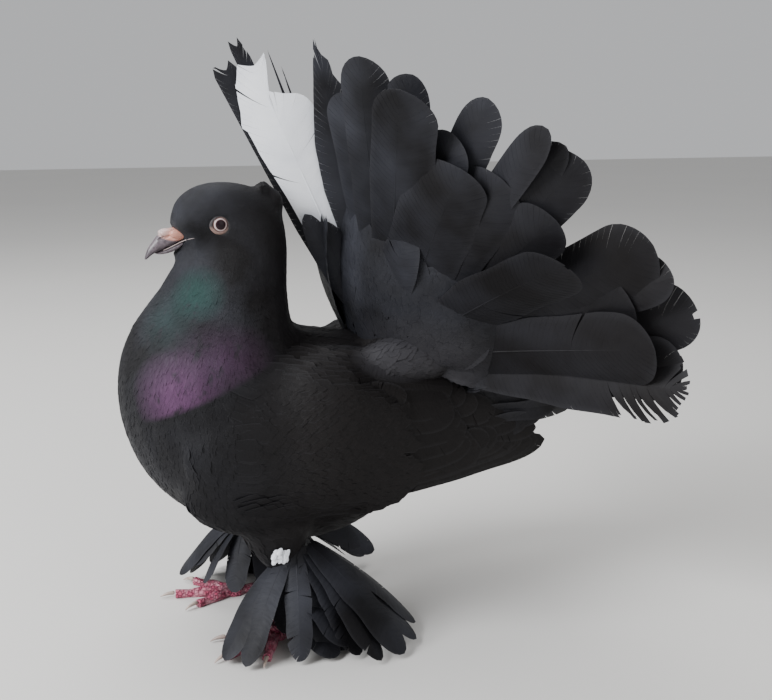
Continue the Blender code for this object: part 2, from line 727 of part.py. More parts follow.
def make_leg(name):
    """Feathered thigh, and the shank with its muff of long feathers."""
    centre = leg_frame(name)[0]
    ankle = centre + Vector((ANKLE_OFFSET_X, 0.0, 0.0))
    rings = []
    for z, radius, shift in THIGH_RINGS:
        middle = ankle.lerp(centre, 1 - shift) + Vector((0.0, 0.0, z))
        ring = []
        for k in range(14):
            turn = 2 * math.pi * k / 14
            ring.append(middle + Vector((1.25 * radius * math.cos(turn), radius * math.sin(turn), 0.0)))
        rings.append(ring)
    thigh = loft("thigh_" + name, rings, dark_feather)
    carve(thigh, [torso_cutter()])
    rings = []
    for i in range(5):
        f = i / 4
        z = SHANK_BOTTOM_Z + (SHANK_TOP_Z - SHANK_BOTTOM_Z) * f
        middle = centre.lerp(ankle, f) + Vector((0.0, 0.0, z))
        radius = SHANK_RADIUS * (1.0 + 0.7 * f)
        ring = []
        for k in range(10):
            turn = 2 * math.pi * k / 10
            ring.append(middle + Vector((radius * math.cos(turn), radius * math.sin(turn), 0.0)))
        rings.append(ring)
    shank = loft("shank_core", rings, dark_feather)
    vanes = []
    for row, (count, last, z, reach, tip_z) in enumerate(MUFF_TIERS):
        first = MUFF_FIRST[name] + 10.0 * row
        for i in range(count):
            turn = math.radians(first + (last - first) * i / (count - 1))
            run = Vector((-math.cos(turn), SIDES[name] * math.sin(turn), 0.0))
            length = reach * (0.66 + MUFF_BEHIND[name] * math.exp(-((turn - 2.6) / 0.55) ** 2))
            length *= 1 + random_source.uniform(-0.08, 0.08)
            share = (z - SHANK_BOTTOM_Z) / (SHANK_TOP_Z - SHANK_BOTTOM_Z)
            start = centre.lerp(ankle, share) + Vector((0.0, 0.0, z))
            tip_height = tip_z + random_source.uniform(0.0, 1.5)
            vanes.append(muff_vane(start, run, length, tip_height, MUFF_HALF_WIDTH - 0.7 * row))
    return fuse("shank_" + name, shank, vanes)


def muff_vane(start, run, length, tip_z, half):
    """A foot feather that arches out from the shank and comes down to the floor."""
    level = Vector((-run.y, run.x, 0.0))
    path = []
    across = []
    for s in (0.0, 0.4, 0.8, 1.0):
        arch = 5.0 * math.sin(math.pi * s)
        drop = (tip_z - start.z) * s ** 1.2
        path.append(start + run * length * s + Vector((0.0, 0.0, drop + arch)))
        across.append((level + Vector((0.0, 0.0, 0.14))).normalized())
    widths = [half * w for w in (0.35, 0.9, 1.0, 0.25)]
    return blade(path, across, widths, (1.6, 1.1, 0.7, 0.5))


def set_origins():
    """Give each node an origin at its own middle and hang all on one empty above the floor's origin."""
    nodes = [o for o in parts.objects if o.type == "MESH"]
    lows = Vector((1e9, 1e9, 1e9))
    highs = -lows
    for node in nodes:
        corners = [Vector(c) for c in node.bound_box]
        centre = sum(corners, Vector()) / 8
        for corner in corners:
            lows = Vector(map(min, lows, corner))
            highs = Vector(map(max, highs, corner))
        node.data.transform(Matrix.Translation(-centre))
        node.location = centre
    stand = bpy.data.objects.new("pigeon", None)
    parts.objects.link(stand)
    for node in nodes:
        node.parent = stand
    stand.location = (-(lows.x + highs.x) / 2, -(lows.y + highs.y) / 2, -lows.z)


for old in list(bpy.data.objects):
    bpy.data.objects.remove(old)
parts = bpy.data.collections.new("indian_fantail_pigeon")
bpy.context.scene.collection.children.link(parts)
dark_feather = make_material("dark_feather", (0.012, 0.012, 0.014), 0.6)
bill_horn = make_material("bill_horn", (0.07, 0.055, 0.06), 0.4)
cere_skin = make_material("cere_skin", (0.62, 0.36, 0.30), 0.6)
eye_glass = make_material("eye_glass", (0.02, 0.012, 0.01), 0.05)
toe_skin = make_material("toe_skin", (0.55, 0.13, 0.13), 0.5)
claw_horn = make_material("claw_horn", (0.45, 0.36, 0.30), 0.4)

body_length("torso", TORSO_SPAN, dark_feather)
body_length("neck", NECK_SPAN, dark_feather)
make_head()
make_bill()
for side_name in SIDES:
    make_tail_half(side_name)
    make_coverts(side_name)
    make_wing(side_name)
    make_leg(side_name)
    make_foot(side_name)
make_undertail()
set_origins()
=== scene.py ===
import itertools
import math
import random

import bpy
import numpy as np
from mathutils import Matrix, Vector
from mathutils.bvhtree import BVHTree


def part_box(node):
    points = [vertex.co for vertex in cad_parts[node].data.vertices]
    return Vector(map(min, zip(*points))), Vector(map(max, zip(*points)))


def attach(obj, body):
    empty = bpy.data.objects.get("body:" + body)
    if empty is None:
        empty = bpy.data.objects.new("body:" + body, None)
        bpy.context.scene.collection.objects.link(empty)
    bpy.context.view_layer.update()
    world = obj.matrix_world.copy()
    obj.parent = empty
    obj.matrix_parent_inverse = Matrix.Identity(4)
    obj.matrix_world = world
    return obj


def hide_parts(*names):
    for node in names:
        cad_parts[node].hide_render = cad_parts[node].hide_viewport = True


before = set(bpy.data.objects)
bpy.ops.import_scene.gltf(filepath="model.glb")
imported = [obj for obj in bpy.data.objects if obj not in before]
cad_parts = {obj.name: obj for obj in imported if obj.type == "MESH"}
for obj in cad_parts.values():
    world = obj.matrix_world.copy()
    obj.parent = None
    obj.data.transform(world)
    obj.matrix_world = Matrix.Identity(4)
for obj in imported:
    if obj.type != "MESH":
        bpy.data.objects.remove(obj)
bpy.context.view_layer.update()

mm = 0.001
sides = {"left": -1.0, "right": 1.0}
# Places in this file are millimetres from a point on the floor under the bird, which faces -X.
# The left eye says where that point lies in the frame.
eyePlace = (-31.5, -12.0, 208.5)
eyeLow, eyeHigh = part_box("eye_left")
shift = (eyeLow + eyeHigh) / 2 - Vector(eyePlace) * mm
shiftRow = np.array(shift)


def place(x, y, z):
    return shift + Vector((x, y, z)) * mm


def toBird(points):
    return (points - shiftRow) / mm


def unit(vectors):
    return vectors / np.maximum(np.linalg.norm(vectors, axis=-1, keepdims=True), 1e-9)


def fade(values, low, high):
    # 0 up to low, 1 from high on
    return np.clip((values - low) / (high - low), 0, 1)


def only(*pieces):
    # selects these pieces and nothing else, the first one active
    bpy.ops.object.select_all(action="DESELECT")
    for piece in pieces:
        piece.select_set(True)
    bpy.context.view_layer.objects.active = pieces[0]


def newPiece(name, data):
    piece = bpy.data.objects.new(name, data)
    bpy.context.scene.collection.objects.link(piece)
    only(piece)
    return piece


def editAll(piece, *steps):
    # runs each step in edit mode on everything in the piece
    only(piece)
    bpy.ops.object.mode_set(mode="EDIT")
    for step in steps:
        bpy.ops.mesh.select_all(action="SELECT")
        step()
    bpy.ops.object.mode_set(mode="OBJECT")


def modify(piece, kind, **settings):
    # adds one modifier and applies it
    step = piece.modifiers.new(kind.lower(), kind)
    for key, value in settings.items():
        setattr(step, key, value)
    only(piece)
    bpy.ops.object.modifier_apply(modifier=step.name)


def settle(piece):
    # puts the piece's place into its mesh
    only(piece)
    bpy.ops.object.transform_apply(location=True, rotation=True, scale=True)


def readPoints(piece, what="co"):
    points = np.empty(len(piece.data.vertices) * 3)
    piece.data.vertices.foreach_get(what, points)
    return points.reshape(-1, 3)


def writePoints(piece, points):
    piece.data.vertices.foreach_set("co", points.ravel())
    piece.data.update()


def tubeFaces(rings):
    # faces between rings of vertex numbers
    ahead = np.roll(rings, -1, axis=1)
    return np.stack([rings[:-1], ahead[:-1], ahead[1:], rings[1:]], axis=-1).reshape(-1, 4)


def copyOf(name, *nodeNames):
    # one merged mesh from copies of frame nodes
    copies = [newPiece(name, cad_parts[node].data.copy()) for node in nodeNames]
    for copied in copies:
        copied.data.materials.clear()
    only(*copies)
    if len(copies) > 1:
        bpy.ops.object.join()
    piece = bpy.context.object
    editAll(piece, lambda: bpy.ops.mesh.remove_doubles(threshold=0.00001))
    piece.name = name
    return piece


def remould(piece, voxel, rounds):
    # one smooth closed skin over whatever the piece holds
    modify(piece, "REMESH", mode="VOXEL", voxel_size=voxel * mm)
    modify(piece, "SMOOTH", factor=0.5, iterations=rounds)
    bpy.ops.object.shade_smooth()


def finishPiece(piece, material, slot, *replaced):
    piece.data.materials.clear()
    piece.data.materials.append(material)
    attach(piece, "root")
    if replaced:
        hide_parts(*replaced)


stageSettings = {
    "cameraPlace": (-145.1, -557.9, 264.2),
    "cameraPitch": 78.0,
    "cameraYaw": -20.0,
    "lens": 53.8,
    "aim": (20, 0, 140),
    "floorColour": (0.62, 0.61, 0.59),
    "skyColour": (0.86, 0.87, 0.89),
    "skyStrength": 0.62,
    # name: place, size in metres, power, colour
    "lamps": {
        "key": ((-1300, -350, 950), 0.9, 44.0, (0.97, 0.98, 1.0)),
        "fill": ((500, -1300, 600), 1.4, 6.0, (1.0, 0.96, 0.92)),
        "above": ((-100, 600, 1300), 1.2, 12.0, (1.0, 1.0, 1.0)),
    },
}
bpy.ops.object.camera_add(
    location=place(*stageSettings["cameraPlace"]),
    rotation=(math.radians(stageSettings["cameraPitch"]), 0.0, math.radians(stageSettings["cameraYaw"])))
camera = bpy.context.object
camera.data.sensor_width = 36.0
camera.data.lens = stageSettings["lens"]
camera.data.clip_start = 0.01
bpy.context.scene.camera = camera
for name, (where, size, power, colour) in stageSettings["lamps"].items():
    bpy.ops.object.light_add(type="AREA", location=place(*where))
    lamp = bpy.context.object
    lamp.name = name
    lamp.data.shape = "DISK"
    lamp.data.size = size
    lamp.data.energy = power
    lamp.data.color = colour
    aim = place(*stageSettings["aim"]) - lamp.location
    lamp.rotation_euler = aim.to_track_quat("-Z", "Y").to_euler()
sky = bpy.data.worlds.new("sky")
sky.use_nodes = True
sky.node_tree.nodes["Background"].inputs["Color"].default_value = (*stageSettings["skyColour"], 1.0)
sky.node_tree.nodes["Background"].inputs["Strength"].default_value = stageSettings["skyStrength"]
bpy.context.scene.world = sky
print("stage: camera, lamps and sky are set")


class Paint:
    # a short way to write node trees
    def __init__(self, name, **fixed):
        self.material = bpy.data.materials.new(name)
        self.material.use_nodes = True
        self.nodes = self.material.node_tree.nodes
        self.links = self.material.node_tree.links
        self.shader = self.nodes["Principled BSDF"]
        for socket, value in fixed.items():
            self.shader.inputs[socket.replace("_", " ")].default_value = value
        self.objectPlace = self.add("ShaderNodeTexCoord").outputs["Object"]

    def add(self, kind, settings=None, **inputs):
        node = self.nodes.new(kind)
        for key, value in (settings or {}).items():
            setattr(node, key, value)
        for key, value in inputs.items():
            self.feed(node.inputs[key.replace("_", " ")], value)
        return node

    def feed(self, socket, value):
        if isinstance(value, bpy.types.NodeSocket):
            self.links.new(value, socket)
        else:
            socket.default_value = value

    def math(self, operation, *values):
        node = self.add("ShaderNodeMath", {"operation": operation})
        for socket, value in zip(node.inputs, values):
            self.feed(socket, value)
        return node.outputs[0]

    def scale(self, value, by, plus=0.0):
        return self.math("MULTIPLY_ADD", value, by, plus)

    def ramp(self, value, *stops):
        node = self.add("ShaderNodeValToRGB", Fac=value)
        edges = node.color_ramp.elements
        while len(edges) < len(stops):
            edges.new(0.5)
        for edge, (where, colour) in zip(edges, stops):
            edge.position = where
            edge.color = (*((colour,) * 3 if isinstance(colour, float) else colour), 1.0)
        return node.outputs["Color"]

    def fade(self, value, low, high, most=1.0):
        return self.ramp(value, (low, 0.0), (high, most))

    def mix(self, factor, a, b, blend="MIX"):
        node = self.add("ShaderNodeMix", {"data_type": "RGBA", "blend_type": blend})
        for number, value in ((0, factor), (6, a), (7, b)):
            self.feed(node.inputs[number], (*value, 1.0) if isinstance(value, tuple) else value)
        return node.outputs[2]

    def noise(self, scale, detail=3.0, vector=None):
        node = self.add("ShaderNodeTexNoise", Vector=vector or self.objectPlace, Scale=scale, Detail=detail)
        return node.outputs["Fac"]

    def blob(self, centre, radii, soft=1.0, side=1.0):
        # 1 at a place, falling to 0 at its radii, in millimetres
        x, y, z = centre
        turned = self.add("ShaderNodeMapping", {"vector_type": "TEXTURE"}, Vector=self.objectPlace,
                          Location=place(x, side * y, z), Scale=Vector(radii) * mm)
        ball = self.add("ShaderNodeTexGradient", {"gradient_type": "SPHERICAL"}, Vector=turned.outputs[0])
        return self.math("POWER", ball.outputs["Fac"], soft)

    def streaks(self, across):
        # the feather's own map, and fine streaks along its barbs
        barbs = self.add("ShaderNodeUVMap", {"uv_map": "Barbs"}).outputs[0]
        stretched = self.add("ShaderNodeMapping", Vector=barbs, Scale=(30.0, across, 1.0))
        return barbs, self.noise(1.0, 3.0, stretched.outputs[0])

    def finish(self, colour, grain, spread, rough, height=None, strength=0.0, deep=0.0):
        # colour, a roughness that follows the grain, and relief
        self.feed(self.shader.inputs["Base Color"], colour)
        self.feed(self.shader.inputs["Roughness"], self.scale(grain, spread, rough))
        if height is not None:
            relief = self.add("ShaderNodeBump", Height=height, Strength=strength, Distance=deep)
            self.links.new(relief.outputs[0], self.shader.inputs["Normal"])
        return self.material


plumageTones = {
    "black": (0.0052, 0.0049, 0.0058),
    "slateAndHighlight": (0.036, 0.038, 0.047),
    "brown": (0.0064, 0.0051, 0.0050),
    "down": (0.036, 0.035, 0.039),
    "edge": (0.030, 0.030, 0.034),
    "green": (0.013, 0.060, 0.050),
    "purple": (0.082, 0.034, 0.080),
    "bare": (0.20, 0.135, 0.115),
    "white": (0.86, 0.88, 0.92),
    "whiteShade": (0.50, 0.53, 0.60),
}
# Gloss and down, the same on both sides: tone, centre, radii, softness, strength; the down is a pale tone over
# the lobe that is partly painted light where the lobe is lit
gloss = [
    ("green", (-48, 32, 180), (19, 26, 17), 1.2, 1.6),
    ("green", (-58, 18, 164), (18, 20, 20), 1.3, 0.35),
    ("purple", (-60, 40, 132), (24, 30, 24), 1.0, 1.3),
    ("purple", (-40, 46, 148), (32, 28, 22), 1.1, 0.55),
    # pale down over the lobe: partly its own tone, partly painted light where the lobe is lit
    ("down", (58, 44, 145), (34, 22, 15), 0.8, 2.0),
]
# The shoulder feathers end the purple along a line seen from the side: a place on it and its slope
shoulderLine = (-37.4, 134.3, 0.465)


def bodyColour(paint, streak):
    # slate head, partly painted highlight where the light falls from above, black body with brown behind and
    # below, the brown partly painted shade over the back and shoulder, green on the throat and purple on the
    # breast
    split = paint.add("ShaderNodeSeparateXYZ", Vector=paint.objectPlace)
    x = paint.scale(split.outputs[0], 1 / mm, -shift.x / mm)
    z = paint.scale(split.outputs[2], 1 / mm, -shift.z / mm)
    # painted highlight: slate grows towards the top, where the light from above falls, broken up by noise;
    # partly the head's own slate tone
    height = paint.ramp(paint.scale(z, 0.01, -0.9), (0.35, 0.20), (0.95, 1.0))
    slateAndHighlight = paint.scale(paint.fade(paint.noise(38.0, 4.0), 0.35, 0.70), height)
    colour = paint.mix(slateAndHighlight, plumageTones["black"], plumageTones["slateAndHighlight"])
    # painted shade: brown towards the back takes the slate off the shoulder and back, partly their own
    # brown-black tone
    behind = paint.fade(paint.scale(x, 0.01, 0.42), 0.0, 0.42, 0.92)
    colour = paint.mix(behind, colour, plumageTones["brown"])
    # the gloss breaks up in strands that hang down
    hanging = paint.add("ShaderNodeMapping", Vector=paint.objectPlace, Scale=(1.0, 1.0, 0.3))
    strands = paint.scale(paint.noise(260.0, 3.0, hanging.outputs[0]), 0.9, paint.noise(70.0, 2.0))
    broken = paint.ramp(paint.scale(streak, 0.35, strands), (0.80, 0.12), (1.35, 1.0))
    lineX, lineZ, slope = shoulderLine
    over = paint.math("ADD", paint.scale(x, -slope, z), slope * lineX - lineZ)
    above = paint.fade(paint.scale(over, 0.1, 0.5), 0.35, 0.65)
    for (tone, centre, radii, soft, strength), side in itertools.product(gloss, sides.values()):
        amount = paint.blob(centre, radii, soft, side)
        if tone != "down":
            amount = paint.scale(amount, broken)
        if tone == "purple":
            amount = paint.scale(amount, above)
        colour = paint.mix(paint.scale(amount, strength), colour, plumageTones[tone])
    return colour


def makeCoatPaint(name, warmShade=None, downy=False):
    # body feathers, or long feathers that turn brown towards the right by as much as the second argument says,
    # a warm tone that is partly painted shade on the side away from the light
    paint = Paint(name, Sheen_Weight=0.02, Sheen_Roughness=0.45, Sheen_Tint=(0.75, 0.78, 0.9, 1.0),
                  Specular_IOR_Level=0.16)
    barbs, streak = paint.streaks(2.5)
    split = paint.add("ShaderNodeSeparateXYZ", Vector=barbs)
    across = paint.math("ABSOLUTE", paint.math("SUBTRACT", split.outputs[1], 0.5))
    tint = paint.add("ShaderNodeAttribute", {"attribute_name": "tint"}).outputs["Fac"]
    if warmShade is None:
        colour = bodyColour(paint, paint.scale(tint, 0.55, paint.scale(streak, 0.45)))
    else:
        drift = paint.fade(paint.noise(26.0, 3.0), 0.35, 0.75)
        colour = paint.mix(drift, plumageTones["black"], plumageTones["slateAndHighlight"])
        for side in sides.values() if downy else ():
            # painted light: a pale down tone where the lobe faces the lamp, partly the pads' own downy grey
            litDownPatch = paint.fade(paint.blob((62, 40, 134), (56, 48, 36), 0.8, side), 0.10, 0.70, 0.95)
            colour = paint.mix(litDownPatch, colour, plumageTones["down"])
        # painted shade: brown towards the right, away from the key light, partly the feathers' own warm tone
        shadeRightward = paint.blob((130, -120, 160), (150, 150, 150), 0.8)
        colour = paint.mix(paint.scale(shadeRightward, warmShade), colour, plumageTones["brown"])
    lit = paint.scale(paint.math("ADD", streak, tint), 0.4)
    colour = paint.mix(lit, colour, (0.30, 0.30, 0.32), "SOFT_LIGHT")
    colour = paint.mix(paint.fade(across, 0.40, 0.50, 0.25), colour, plumageTones["edge"])
    return paint.finish(colour, streak, 0.2, 0.48, paint.scale(across, -0.6, streak), 0.35, 0.0006)


def makeWhitePaint():
    paint = Paint("white_vane", Sheen_Weight=0.1, Specular_IOR_Level=0.35)
    streak = paint.streaks(2.0)[1]
    colour = paint.mix(paint.scale(streak, 0.35), plumageTones["white"], plumageTones["whiteShade"])
    shade = paint.fade(paint.noise(60.0, 2.0), 0.45, 0.8, 0.35)
    colour = paint.mix(shade, colour, plumageTones["whiteShade"])
    return paint.finish(colour, streak, 0.2, 0.5, streak, 0.3, 0.0006)


def makeSkinPaint():
    paint = Paint("skin_under_feathers", Specular_IOR_Level=0.3)
    grain = paint.noise(260.0, 3.0)
    feathered = paint.mix(0.35, bodyColour(paint, grain), plumageTones["black"])
    aroundEye = paint.fade(paint.blob((-31.8, 0, 207.8), (7.8, 60, 7.4), 0.5), 0.60, 0.68)
    colour = paint.mix(aroundEye, feathered, plumageTones["bare"])
    return paint.finish(colour, grain, 0.2, 0.55, grain, 0.5, 0.0008)


coatPaint = makeCoatPaint("black_coat")
vanePaint = makeCoatPaint("black_vane", 0.8)
softPaint = makeCoatPaint("soft_covert", 0.2, True)
whitePaint = makeWhitePaint()

# Folded wing from its bend to its tip: x, lower z, upper z, outer y, depth
wingStations = np.array([
    (-62, 94, 108, 42, 3), (-54, 84, 121, 48, 6), (-40, 75, 134, 53.5, 9), (-20, 68, 145, 56, 10),
    (0, 65, 149, 56.5, 10), (22, 64.5, 146, 55, 9), (45, 67, 133, 51, 7), (64, 74, 121, 46.5, 5),
    (84, 80, 111, 41, 3.6), (104, 86, 104, 35.5, 2.6)], float)
# Balls that fill the skin out: centre and radii
skinSettings = {
    "voxel": 1.5,
    "smoothing": 12,
    "grow": 0.6,
    "depthHead": 1.0,
    "depthBody": 2.4,
    "headFrom": (178, 194),  # heights between which the neck becomes the head
    "bothSides": (
        ((66, 13.5, 138), (20, 13, 15)),  # side of the tail's root
        ((-18, 34, 80), (42, 15, 24)),  # flank
        ((57, 17, 147), (17, 15, 16)),  # under the soft pads
        ((18, 25, 134), (38, 21, 15.5)),  # back
        ((58, 32, 139), (31, 14, 15)),  # lobe over the wing
    ),
    "shank": (((9, 0, 40), (9, 9, 10)), ((6, 0, 28), (8, 8, 10)), ((2, 0, 16), (7.6, 7.6, 10))),
    "middle": (
        ((60, 0, 108), (27, 32, 34)),  # under the tail
        ((94, 0, 107), (38, 25, 12)),
        ((72, 0, 138), (15, 15, 17)),  # rump
        ((45, 0, 145), (9, 16, 10)),
        ((-5.4, 0, 221.6), (4.0, 5.6, 6.6)),  # crest
        ((-1.2, 0, 216.5), (5.6, 8.6, 8.0)),
    ),
    "eased": ((-49, 38, 76), (16, 18, 20)),  # where the flank runs into the breast
}
# The bill's root: from x forward, around z, how long and high, how far the skin goes back and in there
billRoom = {"x": -43.0, "z": 199.8, "long": 7.0, "high": 5.6, "back": 4.6, "in": 1.2}
# The folded wing's face falls away above and below its middle and turns in towards its tip
wingCurve = {"halfHeight": 42.0, "fall": 13.0, "tipFrom": 104.0, "tipTurn": 0.23}
wingArm = {"from": -58.0, "long": 118.0, "high": 0.92, "sunk": 0.8}
footPlace = {"left": (-12.0, 29.0), "right": (-20.0, 31.0)}  # where each leg meets its foot


def wingRead(x, *columns):
    return [np.interp(x, wingStations[:, 0], wingStations[:, k]) for k in columns]


def wingSurface(x, z):
    # how far the folded wing's outer face lies from the middle of the bird
    low, high, outer = wingRead(x, 1, 2, 3)
    spread = (z - (low + high) / 2) / wingCurve["halfHeight"]
    turned = wingCurve["tipTurn"] * np.maximum(x - wingCurve["tipFrom"], 0.0)
    return outer - wingCurve["fall"] * spread * spread - turned


def wingNormals(x, z, side, tilt=0.0):
    slopeX = (wingSurface(x + 1, z) - wingSurface(x - 1, z)) / 2
    slopeZ = (wingSurface(x, z + 1) - wingSurface(x, z - 1)) / 2
    return unit(np.stack([-slopeX, np.full_like(x, side), tilt - slopeZ], axis=1))


def addBall(centre, radii):
    bpy.ops.mesh.primitive_uv_sphere_add(segments=32, ring_count=20, radius=1.0, location=place(*centre))
    ball = bpy.context.object
    ball.scale = Vector(radii) * mm
    settle(ball)
    return ball


def addWingArm(side):
    # the muscle and bone of the folded wing, a flattened pod turned into shape
    bpy.ops.mesh.primitive_cylinder_add(vertices=20, radius=1.0, depth=2.0, end_fill_type="TRIFAN")
    pod = bpy.context.object
    editAll(pod, lambda: bpy.ops.mesh.bisect(plane_co=(0, 0, 0), plane_no=(0, 0, 1)),
            lambda: bpy.ops.mesh.subdivide(number_cuts=4))
    points = readPoints(pod)
    x = wingArm["from"] + wingArm["long"] * (points[:, 2] + 1) / 2
    low, high, depth = wingRead(x, 1, 2, 4)
    z = (low + high) / 2 + points[:, 0] * (high - low) / 2 * wingArm["high"]
    y = wingSurface(x, z) - depth / 2 + points[:, 1] * depth / 2 - wingArm["sunk"]
    writePoints(pod, np.stack([x, side * y, z], axis=1) * mm + shiftRow)
    return pod


def makeSkin():
    skin = copyOf("skin", "torso", "neck", "head", "thigh_left", "thigh_right")
    modify(skin, "DISPLACE", mid_level=0.0, strength=skinSettings["grow"] * mm)
    extra = []
    for name, side in sides.items():
        extra.append(addWingArm(side))
        extra += [addBall((x, side * y, z), radii) for (x, y, z), radii in skinSettings["bothSides"]]
        footX, footY = footPlace[name]
        for (x, y, z), radii in skinSettings["shank"]:
            extra.append(addBall((footX + x, side * (footY + y), z), radii))
    extra += [addBall(centre, radii) for centre, radii in skinSettings["middle"]]
    only(skin, *extra)
    bpy.ops.object.join()
    remould(skin, skinSettings["voxel"], skinSettings["smoothing"])
    # the flank is eased into the breast
    centre, radii = skinSettings["eased"]
    folded = toBird(readPoints(skin))
    folded[:, 1] = np.abs(folded[:, 1])
    weight = np.exp(-(((folded - centre) / radii) ** 2).sum(1))
    group = skin.vertex_groups.new(name="eased")
    for i in np.nonzero(weight > 0.02)[0]:
        group.add([int(i)], float(weight[i]), "REPLACE")
    modify(skin, "SMOOTH", factor=0.6, iterations=90, vertex_group="eased")
    # the skin lies under the feathers, less deep on the head
    points = readPoints(skin)
    ahead, _, height = toBird(points).T
    headness = fade(height, *skinSettings["headFrom"]) * fade(-ahead, -20, 0)
    depth = skinSettings["depthBody"] + (skinSettings["depthHead"] - skinSettings["depthBody"]) * headness
    points -= readPoints(skin, "normal") * (depth[:, None] * mm)
    # room for the bill's root
    share = fade(-ahead, -billRoom["x"], billRoom["long"] - billRoom["x"])
    share *= np.exp(-((height - billRoom["z"]) / billRoom["high"]) ** 4)
    off = points[:, 1] - shiftRow[1]
    points[:, 0] += billRoom["back"] * mm * share
    points[:, 1] -= billRoom["in"] * mm * np.sign(off) * share * (np.abs(off) > 2 * mm)
    writePoints(skin, points)
    editAll(skin, lambda: bpy.ops.uv.smart_project(angle_limit=math.radians(66), island_margin=0.002))
    skin.data.uv_layers[0].name = "OFBake"
    return skin


skin = makeSkin()
finishPiece(skin, makeSkinPaint(), "plumage", "torso", "neck", "thigh_left", "thigh_right")
skinPoints = readPoints(skin)
skinFaces = [tuple(p.vertices) for p in skin.data.polygons]
skinTree = BVHTree.FromPolygons([Vector(p) for p in skinPoints], skinFaces)
skinUv = np.empty(len(skin.data.loops) * 2)
skin.data.uv_layers["OFBake"].data.foreach_get("uv", skinUv)
skinUv = skinUv.reshape(-1, 2)
faceUv = np.array([skinUv[p.loop_start:p.loop_start + p.loop_total].mean(0) for p in skin.data.polygons])
print("skin:", len(skinFaces), "faces")


def skinOutside(x, z, side):
    # how far the skin lies from the middle of the bird at a place seen from the side, None past its edge
    spot = skinTree.ray_cast(place(x, side * 75, z), Vector((0, -side, 0)), 0.075)[0]
    return None if spot is None else abs(spot.y - shift.y) / mm


def onPath(u, v, w, path, normals, half):
    # carries feather shapes onto curved paths: u across in half widths, v along from 0 to 1, w height in
    # metres. path and normals are feathers x steps x 3, the shapes feathers x points
    steps = path.shape[1] - 1
    t = np.clip(v, 0, 1) * steps
    low = np.minimum(t.astype(int), steps - 1)
    f = (t - low)[..., None]
    rows = np.arange(len(path))[:, None]
    centre = path[rows, low] * (1 - f) + path[rows, low + 1] * f
    normal = unit(normals[rows, low] * (1 - f) + normals[rows, low + 1] * f)
    tangent = unit(path[rows, low + 1] - path[rows, low])
    across = unit(np.cross(normal, tangent))
    return centre + across * (u * half[:, None])[..., None] + normal * w[..., None]


def growFeathers(name, points, quads, bake, barbs, tint, material, *replaced):
    # one mesh of many feathers of the same build: points and both maps are feathers x points
    count, each = points.shape[:2]
    faces = (quads[None] + (np.arange(count) * each)[:, None, None]).reshape(-1, 4).astype(np.int32)
    mesh = bpy.data.meshes.new(name)
    mesh.vertices.add(count * each)
    mesh.vertices.foreach_set("co", points.astype(np.float32).ravel())
    mesh.loops.add(faces.size)
    mesh.loops.foreach_set("vertex_index", faces.ravel())
    mesh.polygons.add(len(faces))
    mesh.polygons.foreach_set("loop_start", np.arange(0, faces.size, 4, dtype=np.int32))
    mesh.update(calc_edges=True)
    for mapName, places in (("OFBake", bake), ("Barbs", barbs)):
        layer = mesh.uv_layers.new(name=mapName)
        layer.data.foreach_set("uv", places.reshape(-1, 2)[faces.ravel()].astype(np.float32).ravel())
    layer = mesh.attributes.new("tint", "FLOAT", "POINT")
    layer.data.foreach_set("value", np.repeat(tint, each).astype(np.float32))
    piece = newPiece(name, mesh)
    bpy.ops.object.shade_smooth_by_angle(angle=math.radians(50))
    finishPiece(piece, material, "plumage", *replaced)
    print("feathers:", name, count, "feathers,", len(faces) * 2, "triangles")
    return piece


